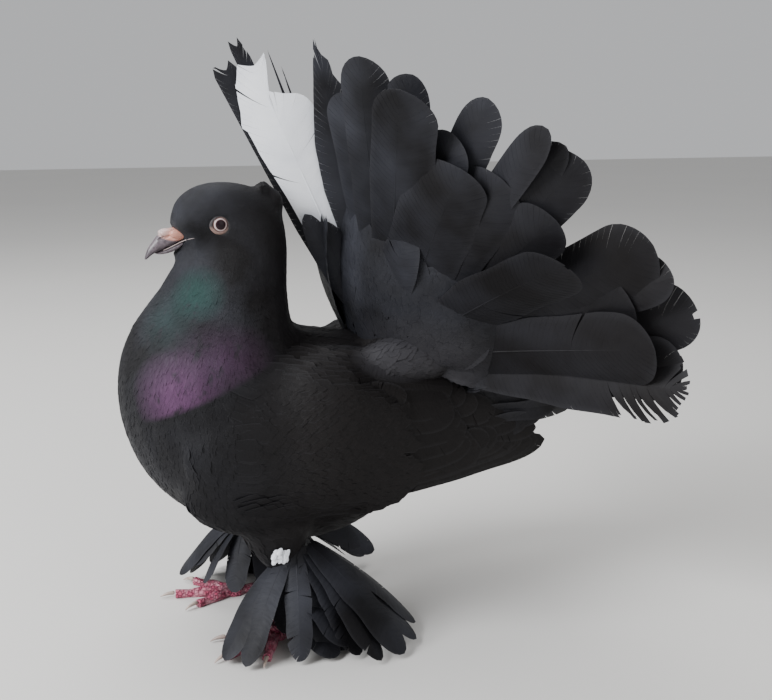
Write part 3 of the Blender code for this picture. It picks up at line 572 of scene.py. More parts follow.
# The lie of the coat seen from the side: x, z, direction x, direction z, feather length, half width
comb = np.array([
    (-54, 209, 0.35, 0.93, 2.6, 1.0), (-50, 219, 0.60, 0.80, 3.0, 1.1), (-40, 226, 0.92, 0.40, 3.4, 1.2),
    (-26, 228, 1.00, 0.02, 3.8, 1.3), (-12, 224, 0.97, 0.05, 4.6, 1.5), (-4, 217, 0.60, 0.30, 5.0, 1.6),
    (3, 208, 0.25, -0.95, 6.0, 1.7), (5, 195, 0.02, -1.0, 7.0, 1.9), (5, 178, 0.02, -1.0, 8.5, 2.2),
    (-46, 206, 0.90, 0.10, 2.4, 0.9), (-38, 212, 0.95, 0.25, 2.6, 1.0), (-31, 208, 1.00, 0.00, 2.6, 1.0),
    (-38, 199, 0.93, -0.30, 2.7, 1.0), (-22, 206, 0.90, -0.35, 3.4, 1.2), (-16, 216, 0.95, -0.15, 3.6, 1.2),
    (-10, 200, 0.45, -0.9, 5.0, 1.6), (-28, 196, 0.55, -0.83, 3.6, 1.3), (-45, 196, 0.70, -0.60, 2.8, 1.0),
    (-51, 193, 0.35, -0.9, 3.0, 1.1), (-55, 186, -0.15, -0.98, 4.0, 1.3), (-40, 188, 0.20, -0.97, 4.0, 1.4),
    (-20, 185, 0.15, -0.98, 6.0, 1.8), (-64, 172, -0.35, -0.94, 6.5, 1.9), (-45, 172, -0.10, -0.99, 7.0, 2.1),
    (-20, 168, 0.05, -1.0, 8.0, 2.3), (-2, 165, 0.30, -0.95, 9.0, 2.6), (-76, 155, -0.30, -0.95, 8.0, 2.6),
    (-83, 128, -0.02, -1.0, 10.0, 3.4), (-79, 100, 0.28, -0.96, 11.0, 3.9), (-69, 81, 0.60, -0.80, 12.0, 4.2),
    (-55, 66, 0.82, -0.57, 12.0, 4.4), (-30, 52, 0.97, -0.22, 13.0, 4.6), (0, 43, 1.00, 0.0, 13.0, 4.6),
    (30, 45, 0.97, 0.22, 14.0, 4.8), (54, 62, 0.85, 0.50, 15.0, 4.8), (-58, 140, 0.00, -1.0, 9.0, 3.0),
    (-40, 148, 0.15, -0.99, 9.5, 3.2), (-60, 115, 0.25, -0.97, 10.0, 3.6), (-45, 120, 0.45, -0.90, 11.0, 3.9),
    (-50, 92, 0.55, -0.83, 11.5, 4.2), (-20, 145, 0.60, -0.80, 10.0, 3.8), (-25, 120, 0.80, -0.60, 12.5, 4.8),
    (-25, 90, 0.93, -0.35, 13.5, 5.2), (0, 150, 0.85, -0.50, 11.0, 4.4), (8, 159, 0.80, -0.55, 10.0, 3.8),
    (24, 153, 1.00, -0.05, 13.0, 4.6), (42, 150, 0.97, 0.25, 14.0, 4.8), (0, 110, 0.97, -0.22, 15.0, 5.8),
    (20, 130, 0.97, -0.20, 16.0, 6.0), (20, 90, 1.0, -0.02, 15.5, 5.8), (45, 100, 1.0, 0.05, 16.0, 5.6),
    (-12, 48, 0.45, -0.89, 12.0, 3.6), (-5, 36, 0.25, -0.97, 11.0, 3.2), (-9, 22, 0.0, -1.0, 6.5, 2.8),
    (62, 130, 0.90, 0.10, 14.0, 4.6),
    (84, 140, 0.75, 0.60, 15.0, 4.4), (74, 152, 0.5, 0.85, 15.0, 4.4), (86, 110, 0.95, 0.25, 15.0, 4.6),
    (70, 85, 0.95, 0.25, 15.0, 4.6)], float)
coatSettings = {
    "combReach": 11.0,
    "spacing": 0.80,
    "lift": 0.035,
    "thick": 0.09,
    "camber": 0.07,
    "longer": 1.12,
    "narrower": 0.70,
    "lengthVary": 0.18,
    "turnVary": 9.0,
    "raised": 0.012,
    "seed": 41,
}
# Bare places: round the eye, and the bill's root ahead of a line that leans back to the corner of the mouth
eyeBare = {"middle": (-31.9, 207.7), "radius": 4.9}
billBare = {"x": -46.0, "z": 203.5, "low": 193.5, "high": 207.5, "leanAbove": 0.8, "leanBelow": 1.4}
tuftWidest = 0.62  # where along it a small feather is widest


def readComb(bird):
    # direction, length and half width at places seen from the side
    distance = (bird[:, :1] - comb[:, 0]) ** 2 + (bird[:, 2:] - comb[:, 1]) ** 2
    weight = (np.exp(-distance / (2 * coatSettings["combReach"] ** 2)) + 1e-12) / (distance + 9.0)
    read = (weight @ comb[:, 2:]) / weight.sum(1, keepdims=True)
    return read * (1.0, 1.0, coatSettings["longer"], coatSettings["narrower"])


def modelTuft(name, columns, rows, toothed):
    # one small feather, laid flat: x across from -1 to 1, y along from 0 to 1, z thickness
    bpy.ops.mesh.primitive_grid_add(x_subdivisions=columns, y_subdivisions=rows, size=2.0)
    tuft = bpy.context.object
    tuft.name = name
    flat = readPoints(tuft)
    u = flat[:, 0].copy()
    v = (flat[:, 1] + 1) / 2
    past = fade(v, tuftWidest, 1.04)
    width = np.where(v < tuftWidest, 0.55 + 0.45 * (v / tuftWidest) ** 0.8, np.sqrt(1 - past ** 2.2))
    tips = np.round((u + 1) / 2 * columns) % 2
    along = v - 0.16 * u * u * v ** 3 - toothed * tips * v ** 6
    writePoints(tuft, np.stack([u * width, along, 0 * v], axis=1))
    seam = tuft.data.attributes.new("across", "FLOAT", "POINT")
    seam.data.foreach_set("value", u.astype(np.float32))
    modify(tuft, "SOLIDIFY", thickness=0.02, offset=0.0)
    editAll(tuft, lambda: bpy.ops.mesh.normals_make_consistent(inside=False))
    across = np.empty(len(tuft.data.vertices), np.float32)
    tuft.data.attributes["across"].data.foreach_get("value", across)
    made = {"points": readPoints(tuft), "across": across,
            "faces": np.array([tuple(p.vertices) for p in tuft.data.polygons])}
    bpy.data.objects.remove(tuft)
    return made


def scatterRoots():
    # even random roots over the skin, closer where the feathers are smaller
    numbers = np.random.default_rng(coatSettings["seed"])
    skin.data.calc_loop_triangles()
    corners = skinPoints[np.array([t.vertices for t in skin.data.loop_triangles])]
    area = np.linalg.norm(np.cross(corners[:, 1] - corners[:, 0], corners[:, 2] - corners[:, 0]), axis=1) / 2
    spacing = readComb(toBird(corners.mean(1)))[:, 3] * coatSettings["spacing"]
    wanted = area / (spacing * mm) ** 2
    count = int(wanted.sum() * 5)
    chosen = numbers.choice(len(corners), size=count, p=wanted / wanted.sum())
    a = numbers.random((count, 2))
    flip = a.sum(1) > 1
    a[flip] = 1 - a[flip]
    c = corners[chosen]
    spots = c[:, 0] + (c[:, 1] - c[:, 0]) * a[:, :1] + (c[:, 2] - c[:, 0]) * a[:, 1:]
    bird = toBird(spots)
    x, y, z = bird.T
    fromEye = np.linalg.norm(bird[:, (0, 2)] - eyeBare["middle"], axis=1)
    keep = ~((fromEye < eyeBare["radius"]) & (np.abs(y) > 6))
    lean = np.where(z > 202, billBare["leanAbove"], billBare["leanBelow"])
    edge = billBare["x"] - lean * np.abs(z - billBare["z"])
    keep &= ~((x < edge) & (z > billBare["low"]) & (z < billBare["high"]))
    cell = 2.5
    grid = {}

    def crowded(spot, gap, home):
        reach = int(math.ceil(gap / cell))
        for step in itertools.product(range(-reach, reach + 1), repeat=3):
            for other in grid.get((home[0] + step[0], home[1] + step[1], home[2] + step[2]), ()):
                if sum((p - q) ** 2 for p, q in zip(spot, other)) < gap * gap:
                    return True
        return False

    kept = []
    homes = np.floor(bird / cell).astype(int).tolist()
    for i in np.nonzero(keep)[0].tolist():
        spot = tuple(bird[i].tolist())
        if not crowded(spot, spacing[chosen[i]], homes[i]):
            grid.setdefault(tuple(homes[i]), []).append(spot)
            kept.append(i)
    return spots[kept]


def plantTufts(name, tuft, path, normals, half, numbers, material, *replaced):
    # one copy of the small feather along every path
    count = len(path)
    shape = tuft["points"]
    u = np.repeat(shape[None, :, 0], count, 0)
    v = np.repeat(shape[None, :, 1], count, 0)
    w = np.sign(shape[:, 2]) * coatSettings["thick"] * mm * 0.5 * (1 - 0.5 * v)
    w -= coatSettings["camber"] * u ** 2 * half[:, None]
    seed = numbers.uniform(0, 30, count)[:, None]
    barbs = np.stack([seed + 0.30 * shape[None, :, 1] - 0.55 * np.abs(tuft["across"])[None],
                      np.repeat(0.5 + 0.5 * tuft["across"][None], count, 0)], axis=2)
    # each feather bakes at its root's place on the skin's unwrap
    uv = np.array([faceUv[skinTree.find_nearest(Vector(root))[2]] for root in path[:, 0]])
    bake = uv[:, None, :] + (np.stack([(u + 1) * 0.5, v], axis=2) - 0.5) * 0.003
    points = onPath(u, v, w, path, normals, half)
    return growFeathers(name, points, tuft["faces"], bake, barbs, numbers.random(count), material, *replaced)


def plantCoat(name, roots, tuft, lieOf=None, cling=1.0, replaced=()):
    # small feathers that creep along the skin from their roots, as the comb says or as lieOf does
    numbers = np.random.default_rng(len(roots))
    count = len(roots)
    bird = toBird(roots)
    runX, runZ, length, half = readComb(bird).T
    lie = np.stack([runX, 0 * runX, runZ], axis=1) if lieOf is None else lieOf(bird)
    length = length * (1 + coatSettings["lengthVary"] * numbers.uniform(-1, 1, count)) * mm
    half = half * (1 + 0.1 * numbers.uniform(-1, 1, count)) * mm
    rise = coatSettings["lift"] * length * np.where(numbers.random(count) < coatSettings["raised"], 1.8, 1.0)
    path = np.empty((count, 4, 3))
    normals = np.empty((count, 4, 3))
    for i in range(count):
        spot, normal = skinTree.find_nearest(Vector(roots[i]))[:2]
        along = Vector(lie[i])
        turn = math.radians(coatSettings["turnVary"]) * numbers.uniform(-1, 1)
        for k in range(4):
            along -= normal * along.dot(normal)
            if along.length < 0.05:
                along = Vector((1, 0, 0)) - normal * normal.x
            along.normalize()
            if k == 0:
                along = along * math.cos(turn) + normal.cross(along) * math.sin(turn)
            path[i, k] = spot + normal * (rise[i] * (0.42 * k - 0.2) + 0.1 * mm)
            normals[i, k] = normal
            ahead = spot + along * (length[i] / 3)
            spot, normal = skinTree.find_nearest(ahead)[:2]
            spot = ahead.lerp(spot, cling)
    return plantTufts(name, tuft, path, unit(normals), half, numbers, coatPaint, *replaced)


def crestLie(bird):
    # up the nape and towards the crest's peak
    return unit((np.array([-5.0, 0.0, 232.0]) - bird) * (1.0, 0.5, 1.0))


roots = scatterRoots()
birdRoots = toBird(roots)
smallTuft = modelTuft("small_tuft", 2, 2, 0.0)
neckTuft = modelTuft("neck_tuft", 2, 3, 0.06)
bodyTuft = modelTuft("body_tuft", 3, 4, 0.05)
combHalf = readComb(birdRoots)[:, 3] / coatSettings["narrower"]
inCrest = (birdRoots[:, 0] > -9) & (birdRoots[:, 2] > 208) & (np.abs(birdRoots[:, 1]) < 10)
isBody = combHalf >= 2.7
isFront = birdRoots[:, 0] < -38
isLeft = birdRoots[:, 1] < 0
plantCoat("coat_head", roots[(combHalf < 1.5) & ~inCrest], smallTuft)
plantCoat("coat_neck", roots[(combHalf >= 1.5) & ~isBody & ~inCrest], neckTuft)
plantCoat("crest", roots[inCrest], neckTuft, crestLie, 0.75, ("head",))
plantCoat("coat_breast", roots[isBody & isFront], bodyTuft)
plantCoat("coat_body_left", roots[isBody & ~isFront & isLeft], bodyTuft)
plantCoat("coat_body_right", roots[isBody & ~isFront & ~isLeft], bodyTuft)

featherSteps = 9
vaneSettings = {
    "thick": 0.14,  # half the vane's thickness at the shaft
    "thinner": 0.55,  # how much of it is gone at the edge
    "overlap": 0.045,  # each clump of barbs lies this much over the one before
    "parted": 0.02,  # gap between whole clumps, as a share
    "tornParted": (0.10, 0.25),
    "lastBarb": 0.975,  # where along the shaft the last clump leaves it
    "forward": 1.3,  # how the barbs curve towards the tip
    "uneven": ((0.035, 9.0), (0.02, 23.0)),  # waves of the edge: height and how close
    "rodSteps": 10,
    "rodSides": 5,
    "rodEnd": 0.965,
    "rodTaper": 0.85,
}


def vaneQuads(clumps, segments):
    # faces of all clumps of barbs, eight rows of points each: side, edge, upper or lower face
    row = segments + 1
    quads = []
    for clump, rightSide in itertools.product(range(clumps), (0, 1)):
        base = (clump * 8 + rightSide * 4) * row
        lowTop, lowBottom, highTop, highBottom = (base + k * row for k in range(4))
        loop = [lowTop, highTop, highBottom, lowBottom]
        made = [(a + k, a + k + 1, b + k + 1, b + k)
                for a, b in zip(loop, loop[1:] + loop[:1]) for k in range(segments)]
        made.append((lowTop, lowBottom, highBottom, highTop))
        made.append(tuple(corner + segments for corner in loop))
        quads += made if rightSide else [quad[::-1] for quad in made]
    return quads


def layFeathers(name, feathers, material, clumps, segments, *replaced):
    # feathers is a list of dictionaries: path and normals in bird millimetres, half width and how worn it is
    count = len(feathers)
    numbers = np.random.default_rng(count * 7 + clumps)

    def each(key, usual=None):
        return np.array([f.get(key, usual) for f in feathers])

    path = np.empty((count, featherSteps, 3))
    normals = np.empty((count, featherSteps, 3))
    length = np.empty(count)
    for i, f in enumerate(feathers):
        gaps = np.concatenate([[0], np.cumsum(np.linalg.norm(np.diff(f["path"], axis=0), axis=1))])
        even = np.linspace(0, gaps[-1], featherSteps)
        for k in range(3):
            path[i, :, k] = np.interp(even, gaps, f["path"][:, k])
            normals[i, :, k] = np.interp(even, gaps, f["normals"][:, k])
        length[i] = gaps[-1] * mm
    path = path * mm + shiftRow
    half = each("half") * mm
    start = each("bare", 0.10)
    tipAt = each("tipAt", 0.80)
    inner = each("inner", 1.0)
    wear = each("wear", 0.12)[:, None, None]
    wornFrom = each("wornFrom", 0.0)[:, None, None]
    unevenPhase = numbers.uniform(0, 6.28, count)

    def outline(v, i):
        # half width along one feather, 1 at its widest
        rise = fade(v, start[i], start[i] + 0.45) ** 0.55
        past = fade(v, tipAt[i], 1.0)
        fall = np.clip(1 - past ** 2.3, 0, 1) ** 0.55
        uneven = 1 + sum(height * np.sin(close * v + (k + 1) * unevenPhase[i])
                         for k, (height, close) in enumerate(vaneSettings["uneven"]))
        return (0.35 + 0.65 * rise) * fall * uneven

    # where each clump of barbs leaves the shaft, and where along the edge it ends
    share = np.linspace(0, 1, clumps + 1)
    rootV = start[:, None] + (vaneSettings["lastBarb"] - start[:, None]) * share[None] ** 0.95
    endV = np.empty_like(rootV)
    endU = np.empty_like(rootV)
    for i in range(count):
        fine = np.linspace(start[i] + 0.35 * half[i] / length[i], 1.0, 240)
        wide = outline(fine, i)
        run = np.concatenate([[0], np.cumsum(np.hypot(np.diff(fine) * length[i], np.diff(wide) * half[i]))])
        endV[i] = np.maximum(np.interp(share * run[-1], run, fine), rootV[i] + 0.004)
        endU[i] = np.interp(share * run[-1], run, wide)
    g = np.linspace(0, 1, segments + 1)  # from the shaft to the edge
    layers = []
    for column, sign in ((2, -1.0), (1, 1.0)):
        lop = (inner if sign > 0 else 2 - inner)[:, None, None]
        edgeU = endU.copy()
        for i, f in enumerate(feathers):
            if "edge" in f:
                edge = np.array(f["edge"])
                edgeU[i] = np.interp(endV[i], edge[:, 0], edge[:, column])
        rims = []
        for rim in (slice(0, -1), slice(1, None)):
            r, e = rootV[:, rim, None], endV[:, rim, None]
            rims.append((sign * edgeU[:, rim, None] * lop * g, r + (e - r) * g ** vaneSettings["forward"], r))
        torn = numbers.random((count, clumps, 1)) < wear * 0.8
        torn &= share[None, :-1, None] >= wornFrom
        parted = numbers.uniform(*vaneSettings["tornParted"], torn.shape) + 0.35 * wear
        shrink = np.where(torn, parted, vaneSettings["parted"]) * g ** 2
        drift = np.where(torn, numbers.uniform(-1, 1, torn.shape) * 0.02, 0.0) * g ** 2
        cut = 1 - (0.008 + np.where(torn, wear * 0.25, 0.0)) * numbers.random(torn.shape) * g ** 2
        for (ua, va, ra), (ub, vb, _), over in ((*rims, 0.0), (*rims[::-1], vaneSettings["overlap"] * mm)):
            u = (ua + (ub - ua) * shrink / 2) * cut
            v = np.minimum(va + (vb - va) * shrink / 2 + drift, 1.0)
            for face in (1.0, -1.0):
                w = face * vaneSettings["thick"] * mm * (1.0 - vaneSettings["thinner"] * g) + over
                layers.append(np.broadcast_arrays(u, v, w, ra, 0.5 + 0.5 * sign * g))
    # u, v, w, and the barbs' map: where the clump starts, and the place across
    u, v, w, s, across = (np.stack(part, axis=2).reshape(count, -1) for part in zip(*layers))
    camber = each("camber", 0.10)[:, None]
    wave = each("wave", 0.03)[:, None]
    phase = numbers.uniform(0, 6.28, (count, 1))
    w = w - camber * half[:, None] * u ** 2 + wave * half[:, None] * u * np.sin(7.0 * v + phase + u)
    # the shaft, a tapered rod
    vanePoints = u.shape[1]
    rodSides = vaneSettings["rodSides"]
    rodV = np.linspace(0.0, vaneSettings["rodEnd"], vaneSettings["rodSteps"] + 1)
    turn = np.arange(rodSides) * 2 * math.pi / rodSides
    radius = each("shaft", 1.0)[:, None, None] * mm * (1 - rodV * vaneSettings["rodTaper"])[None, :, None]
    rodU = radius * np.cos(turn) * 0.8 / half[:, None, None]
    rodVs = np.broadcast_to(rodV[None, :, None], rodU.shape)
    rod = (rodU, rodVs, radius * np.sin(turn) * 0.6, rodVs, np.full(rodU.shape, 0.5))
    u, v, w, s, across = (np.concatenate([vane, part.reshape(count, -1)], axis=1)
                          for vane, part in zip((u, v, w, s, across), rod))
    rings = np.arange(vanePoints, u.shape[1]).reshape(-1, rodSides)
    quads = np.concatenate([vaneQuads(clumps, segments), tubeFaces(rings), [rings[0, 3::-1], rings[-1, :4]]])
    # each feather has its own cell of the bake map
    columns = int(math.ceil(math.sqrt(count)))
    row, column = np.divmod(np.arange(count)[:, None], columns)
    bake = np.stack([column + 0.5 + 0.42 * u / 1.3, row + 0.04 + 0.92 * v], axis=2) / columns
    barbs = np.stack([s + numbers.uniform(0, 30, count)[:, None], across], axis=2)
    points = onPath(u, v, w, path, unit(normals), half)
    return growFeathers(name, points, quads, bake, barbs, numbers.random(count), material, *replaced)


def curvedFeather(root, tip, normal, half, bend=0.0, curl=0.0, **more):
    # a feather from root to tip, bowed away from its face by bend, its end turned back by curl
    root = np.array(root, float)
    run = np.array(tip, float) - root
    length = np.linalg.norm(run)
    run = run / length
    normal = np.array(normal, float)
    normal = unit(normal - run * (normal @ run))
    s = np.linspace(0, 1, featherSteps)
    late = np.clip(s - 0.6, 0, 1)
    bow = bend * np.sin(math.pi * s) + curl * late ** 2
    slope = bend * math.pi * np.cos(math.pi * s) + 2 * curl * late
    path = root + np.outer(s * length, run) + np.outer(bow * length, normal)
    return {"path": path, "normals": unit(normal - np.outer(slope, run)), "half": half, **more}


# Fan: each half's forward lean and how its feathers sweep back towards the lowest one
fanSettings = {
    "left": {"lean": -0.30, "sweep": 1.00},
    "right": {"lean": -0.52, "sweep": 1.22},
    "root": (54.0, 3.0, 136.0),  # where the middle feather starts
    "rootSpread": (18.0, 14.0, 14.0),  # how much further back, out and up the others start
}


def fanDirection(half, angle):
    along = fanSettings[half]["lean"] + fanSettings[half]["sweep"] * math.sin(angle) ** 3
    return unit(np.array([along, sides[half] * math.sin(angle), math.cos(angle)]))


def fanPlace(half, degrees):
    # where a feather starts at this angle, its direction, the way to the next one, and the way out of the face
    held = math.radians(min(max(degrees, 0.0), 96.0))
    (x, y, z), (back, out, up) = fanSettings["root"], fanSettings["rootSpread"]
    root = np.array([x + back * (1 - math.cos(held)), sides[half] * (y + out * math.sin(held)),
                     z + up * math.cos(held)])
    ahead = unit(fanDirection(half, held + 0.05) - fanDirection(half, held))
    face = unit(np.cross(fanDirection(half, held), ahead)) * sides[half]
    return root, fanDirection(half, math.radians(degrees)), ahead, face


def fanFeather(half, degrees, length, halfWidth, roll, layer, **more):
    # roll turns the vane about its shaft, layer sets it ahead of the fan or behind it
    root, run, ahead, face = fanPlace(half, degrees)
    turn = math.radians(roll)
    normal = face * math.cos(turn) - ahead * math.sin(turn)
    root = root + face * layer * 0.35
    tip = root + run * length + face * layer * 0.65
    return curvedFeather(root, tip, normal, halfWidth, -0.02, **more)


# Near half of the fan: angle, length, half width, roll, layer, wear, curl
nearFan = [
    (15, 128, 11.0, -34, -2.0, 0.0, -0.10),
    (23.5, 151, 12.0, -26, 2.0, 0.0, -0.20),
    (31, 147, 12.0, -6, -4.0, 0.0, -0.30),
    (32, 147, 16.5, -8, 7.0, 0.0, -0.20),
    (38, 130, 13.0, 10, 0.0, 0.0, -0.40),
    (40.5, 147, 11.0, 4, -3.0, 0.0, -0.70),
    (42, 121, 19.0, 0, 7.0, 0.0, -0.40),
    (46.5, 124, 17.0, 10, 4.0, 0.0, -0.50),
    (47.5, 157, 9.0, 24, -3.0, 0.0, -0.30),
    (50, 152, 9.0, 16, -5.0, 0.0, -0.40),
    (52.5, 151, 16.0, 6, 2.0, 0.0, -0.70),
    (55, 128, 15.0, 6, 5.0, 0.0, -0.30),
    (59, 127, 17.0, -12, 14.0, 0.05, 0.05),
    (64.5, 147, 18.0, 12, 0.0, 0.0, -0.60),
    (69, 148, 13.0, 22, -3.0, 0.0, -0.40),
    (72, 128, 17.0, 6, 3.0, 0.0, -0.30),
    (77, 149, 17.0, 8, -4.0, 0.05, -0.50),
    (79, 134, 19.0, -6, 8.0, 0.02, -0.10),
    (84, 140, 15.0, 4, 0.0, 0.06, -0.20),
    (88.5, 143, 18.0, 8, 3.0, 0.85, -0.10),
]
# Far half, up to the white feather and the broken dark ones behind it
farFan = [
    (22, 143, 13.0, 30, -2.0, 0.0, -0.20),
    (29, 142, 17.0, 10, 1.0, 0.0, -0.30),
    (36, 146, 17.0, 10, 0.0, 0.0, -0.40),
    (43, 148, 17.0, 12, 1.0, 0.0, -0.50),
    (50, 151, 18.0, 10, -1.0, 0.0, -0.50),
    (57, 146, 18.0, 10, 2.0, 0.01, -0.60),
    (64, 150, 18.0, 8, 0.0, 0.01, -0.50),
    (71, 146, 18.0, 10, 1.0, 0.10, -0.40),
    (78, 149, 18.0, 8, -1.0, 0.15, -0.30),
    (84, 141, 18.0, 8, 2.0, 0.20, -0.20),
    (89, 138, 17.0, 4, 1.0, 0.50, -0.20),
]
# The middle of the fan, its feathers turned to the front left: the white one, a dark one with a point beside
# it and broken dark ones behind. Edges are places along the feather with the half widths left and right of it.
middleFace = (-0.34, -0.90, 0.22)
whiteEdge = [
    (0.0, 0.30, 0.20), (0.20, 0.40, 0.30), (0.364, 0.47, 0.34), (0.42, 0.62, 0.50), (0.457, 0.65, 0.58),
    (0.53, 0.70, 0.68), (0.587, 0.76, 0.76), (0.645, 0.84, 0.94), (0.70, 0.90, 1.12), (0.76, 0.93, 1.14),
    (0.79, 0.95, 1.10), (0.81, 1.07, 1.05), (0.836, 0.98, 0.90), (0.85, 0.92, 0.55), (0.87, 0.88, 0.26),
    (0.89, 0.84, 0.06), (0.945, 0.70, 0.06), (0.96, 0.60, 0.35), (1.0, 0.42, 0.42)]
pointedEdge = [
    (0.0, 0.30, 0.30), (0.30, 0.75, 0.65), (0.517, 1.05, 0.85), (0.671, 0.98, 0.85), (0.777, 0.70, 0.82),
    (0.846, 0.50, 0.69), (0.87, 0.42, 0.42), (0.921, 0.28, 0.41), (0.943, 0.20, 0.20), (0.955, 0.17, 0.06),
    (1.0, 0.03, 0.03)]
flatEnd = [(0.0, 0.5, 0.5), (0.4, 1.0, 1.0), (0.93, 1.0, 1.0), (0.97, 1.0, 0.75), (1.0, 0.8, 0.45)]
strand = [(0.0, 0.3, 0.3), (0.5, 1.0, 1.0), (0.85, 0.7, 0.3), (1.0, 0.1, 0.1)]
# Root, tip, half width, edge, and for the broken ones wear
whiteFeather = ((51, 2, 150), (-10, 5, 286), 17.0, whiteEdge)
pointedFeather = ((55, -4, 149), (19.6, -3, 295.5), 12.0, pointedEdge)
brokenDark = [
    ((46.5, 8, 152), (-22.5, 11, 284), 6.8, flatEnd, 0.30),
    ((50, 6, 152), (-17.0, 10, 295.5), 3.8, flatEnd, 0.55),
    ((54, 7, 150), (-1, 8, 291), 1.3, strand, 0.5),
    ((55, 7, 150), (6, 8, 283), 1.3, strand, 0.5),
]
# Dark coverts over the foot of the white feather: root, tip, half width
edgeCoverts = [
    ((50, -2, 148), (14, -2, 211), 7.0),
    ((51, -3, 148), (22, -3, 207), 8.5),
    ((53, -4, 148), (31, -4, 202), 9.0),
]


def fanList(half, rows):
    return [fanFeather(half, degrees, length, width, roll, layer, wear=wear, curl=curl, bare=0.08, tipAt=0.89,
                       shaft=1.3, camber=0.12, wave=0.06, inner=1 + 0.16 * math.sin(degrees * 2.3),
                       wornFrom=0.68 if wear > 0.5 else 0.0)
            for degrees, length, width, roll, layer, wear, curl in rows]


def middleFeather(root, tip, width, edge, bend=0.01, **more):
    return curvedFeather(root, tip, middleFace, width, bend, edge=edge, bare=0.05, **more)


pointed = middleFeather(*pointedFeather, wear=0.02, tipAt=0.97, shaft=1.1, camber=0.08)
layFeathers("tail_fan_left", fanList("left", nearFan) + [pointed], vanePaint, 44, 4, "tail_left")
broken = [middleFeather(root, tip, width, edge, 0.0, wear=wear, wornFrom=0.93, tipAt=0.985,
                        shaft=min(1.1, 0.3 * width), camber=0.1) for root, tip, width, edge, wear in brokenDark]
layFeathers("tail_fan_right", fanList("right", farFan) + broken, vanePaint, 44, 4, "tail_right")
white = middleFeather(*whiteFeather, curl=-0.10, wear=0.10, tipAt=0.97, shaft=1.2, camber=0.06, wave=0.05)
layFeathers("tail_white_feather", [white], whitePaint, 60, 5)

# Soft feathers over the root of the fan: how many, first and last angle, length, half width, and how far
# ahead of the fan the root and the tip lie
coverts = {
    "front": [(15, 3, 74, 70, 12.0, 6.0, 2.5), (15, 0, 78, 60, 12.5, 8.5, 3.5)],
    "back": [(12, 4, 92, 72, 13.0, -9.0, -4.0), (12, 0, 98, 56, 12.5, -12.0, -7.0)],
}
# The soft pads over them: first and last angle, reach, height over the fan at the middle and the rim,
# feather length and half width
coverPads = {
    "front": (-14, 106, 62.0, 15.5, 2.0, 11.0, 1.9),
    "back": (-6, 108, 52.0, -15.5, -6.5, 17.0, 4.0),
}
farCovertsFrom = 14  # the far half's coverts start here, the near half's reach over to the white feather


def covertReach(degrees):
    # how far the soft feathers reach round the fan, as a share
    return float(np.interp(degrees, (56, 70, 80, 90, 106), (1.0, 0.88, 0.76, 0.64, 0.50)))


def covertList(half, rows, seed):
    source = random.Random(seed)
    made = []
    for count, first, last, length, width, aheadRoot, aheadTip in rows:
        first = farCovertsFrom if half == "right" else first
        for i in range(count):
            degrees = first + (last - first) * i / (count - 1) + source.uniform(-2.5, 2.5)
            root, run, ahead, face = fanPlace(half, degrees)
            share = covertReach(degrees + 14) * min(1.0, 0.62 + degrees / 80)
            tip = root + run * length * (1 + source.uniform(-0.12, 0.10)) * share
            tip = tip + face * (aheadTip + source.uniform(-0.8, 0.8))
            turn = math.radians(source.uniform(-6, 10))
            normal = (face * math.cos(turn) - ahead * math.sin(turn)) * np.sign(aheadRoot)
            made.append(curvedFeather(
                root + face * aheadRoot, tip, normal, width * source.uniform(0.9, 1.1), 0.07,
                wear=0.05, curl=-0.12, bare=0.0, tipAt=0.66, shaft=0.5, camber=0.16, wave=0.04))
    return made


def padPoint(half, degrees, out, pad):
    # a place on a soft pad
    reach, middle, rim = pad[2:5]
    root, run, _, face = fanPlace(half, degrees)
    part = min(out / (reach * covertReach(degrees)), 1.25)
    return root + run * out + face * (rim + (middle - rim) * (1 - part ** 2.6))


def plantPad(name, half, pad, material):
    first, last, reach, _, _, length, width = pad
    level = (*pad[:3], 0.0, 0.0)
    numbers = np.random.default_rng(int(reach) + int(sides[half]) + 5)
    paths, normals, sizes = [], [], []
    share = np.linspace(0, 1, 4)
    out = reach - length * 0.55
    while out > -6:
        arc = math.radians(last - first) * max(out, 5.0) + 12
        count = max(int(arc / (width * 0.85)), 8)
        for i in range(count):
            degrees = first + (last - first) * (i + numbers.uniform(0.1, 0.9)) / count
            begin = max(out + numbers.uniform(-1.5, 1.5), 0.5) * covertReach(degrees)
            ends = begin + length * numbers.uniform(0.85, 1.15) * share
            turned = degrees + numbers.uniform(-5, 5) * share
            own, before, after = (np.array([padPoint(half, a + step, b, pad) for a, b in zip(turned, ends)])
                                  for step in (0, -2, 2))
            normal = unit(np.cross(np.gradient(own, axis=0), after - before))
            outward = own[0] - padPoint(half, turned[0], ends[0], level)
            paths.append(own)
            normals.append(normal * np.sign(normal[0] @ outward))
            sizes.append(width * numbers.uniform(0.85, 1.15) * (1 + 0.3 * (out / reach) ** 3))
        out -= width * 0.95
    normals = np.array(normals)
    lifted = np.linspace(-0.3, 1.0, 4)[None, :, None] * normals * 0.3
    path = (np.array(paths) + lifted) * mm + shiftRow
    plantTufts(name, neckTuft, path, normals, np.array(sizes) * mm, numbers, material)


edges = [curvedFeather(root, tip, middleFace, width, 0.03, wear=0.03, bare=0.0, tipAt=0.66, shaft=0.4,
                       camber=0.2) for root, tip, width in edgeCoverts]
front = covertList("left", coverts["front"], 5) + covertList("right", coverts["front"], 6) + edges
back = covertList("left", coverts["back"], 7) + covertList("right", coverts["back"], 8)
layFeathers("tail_coverts", front, softPaint, 20, 3, "tail_coverts_left", "tail_coverts_right")
layFeathers("tail_back_coverts", back, vanePaint, 16, 3)
for half in sides:
    plantPad("soft_coverts_" + half, half, coverPads["front"], softPaint)
    plantPad("soft_back_coverts_" + half, half, coverPads["back"], vanePaint)

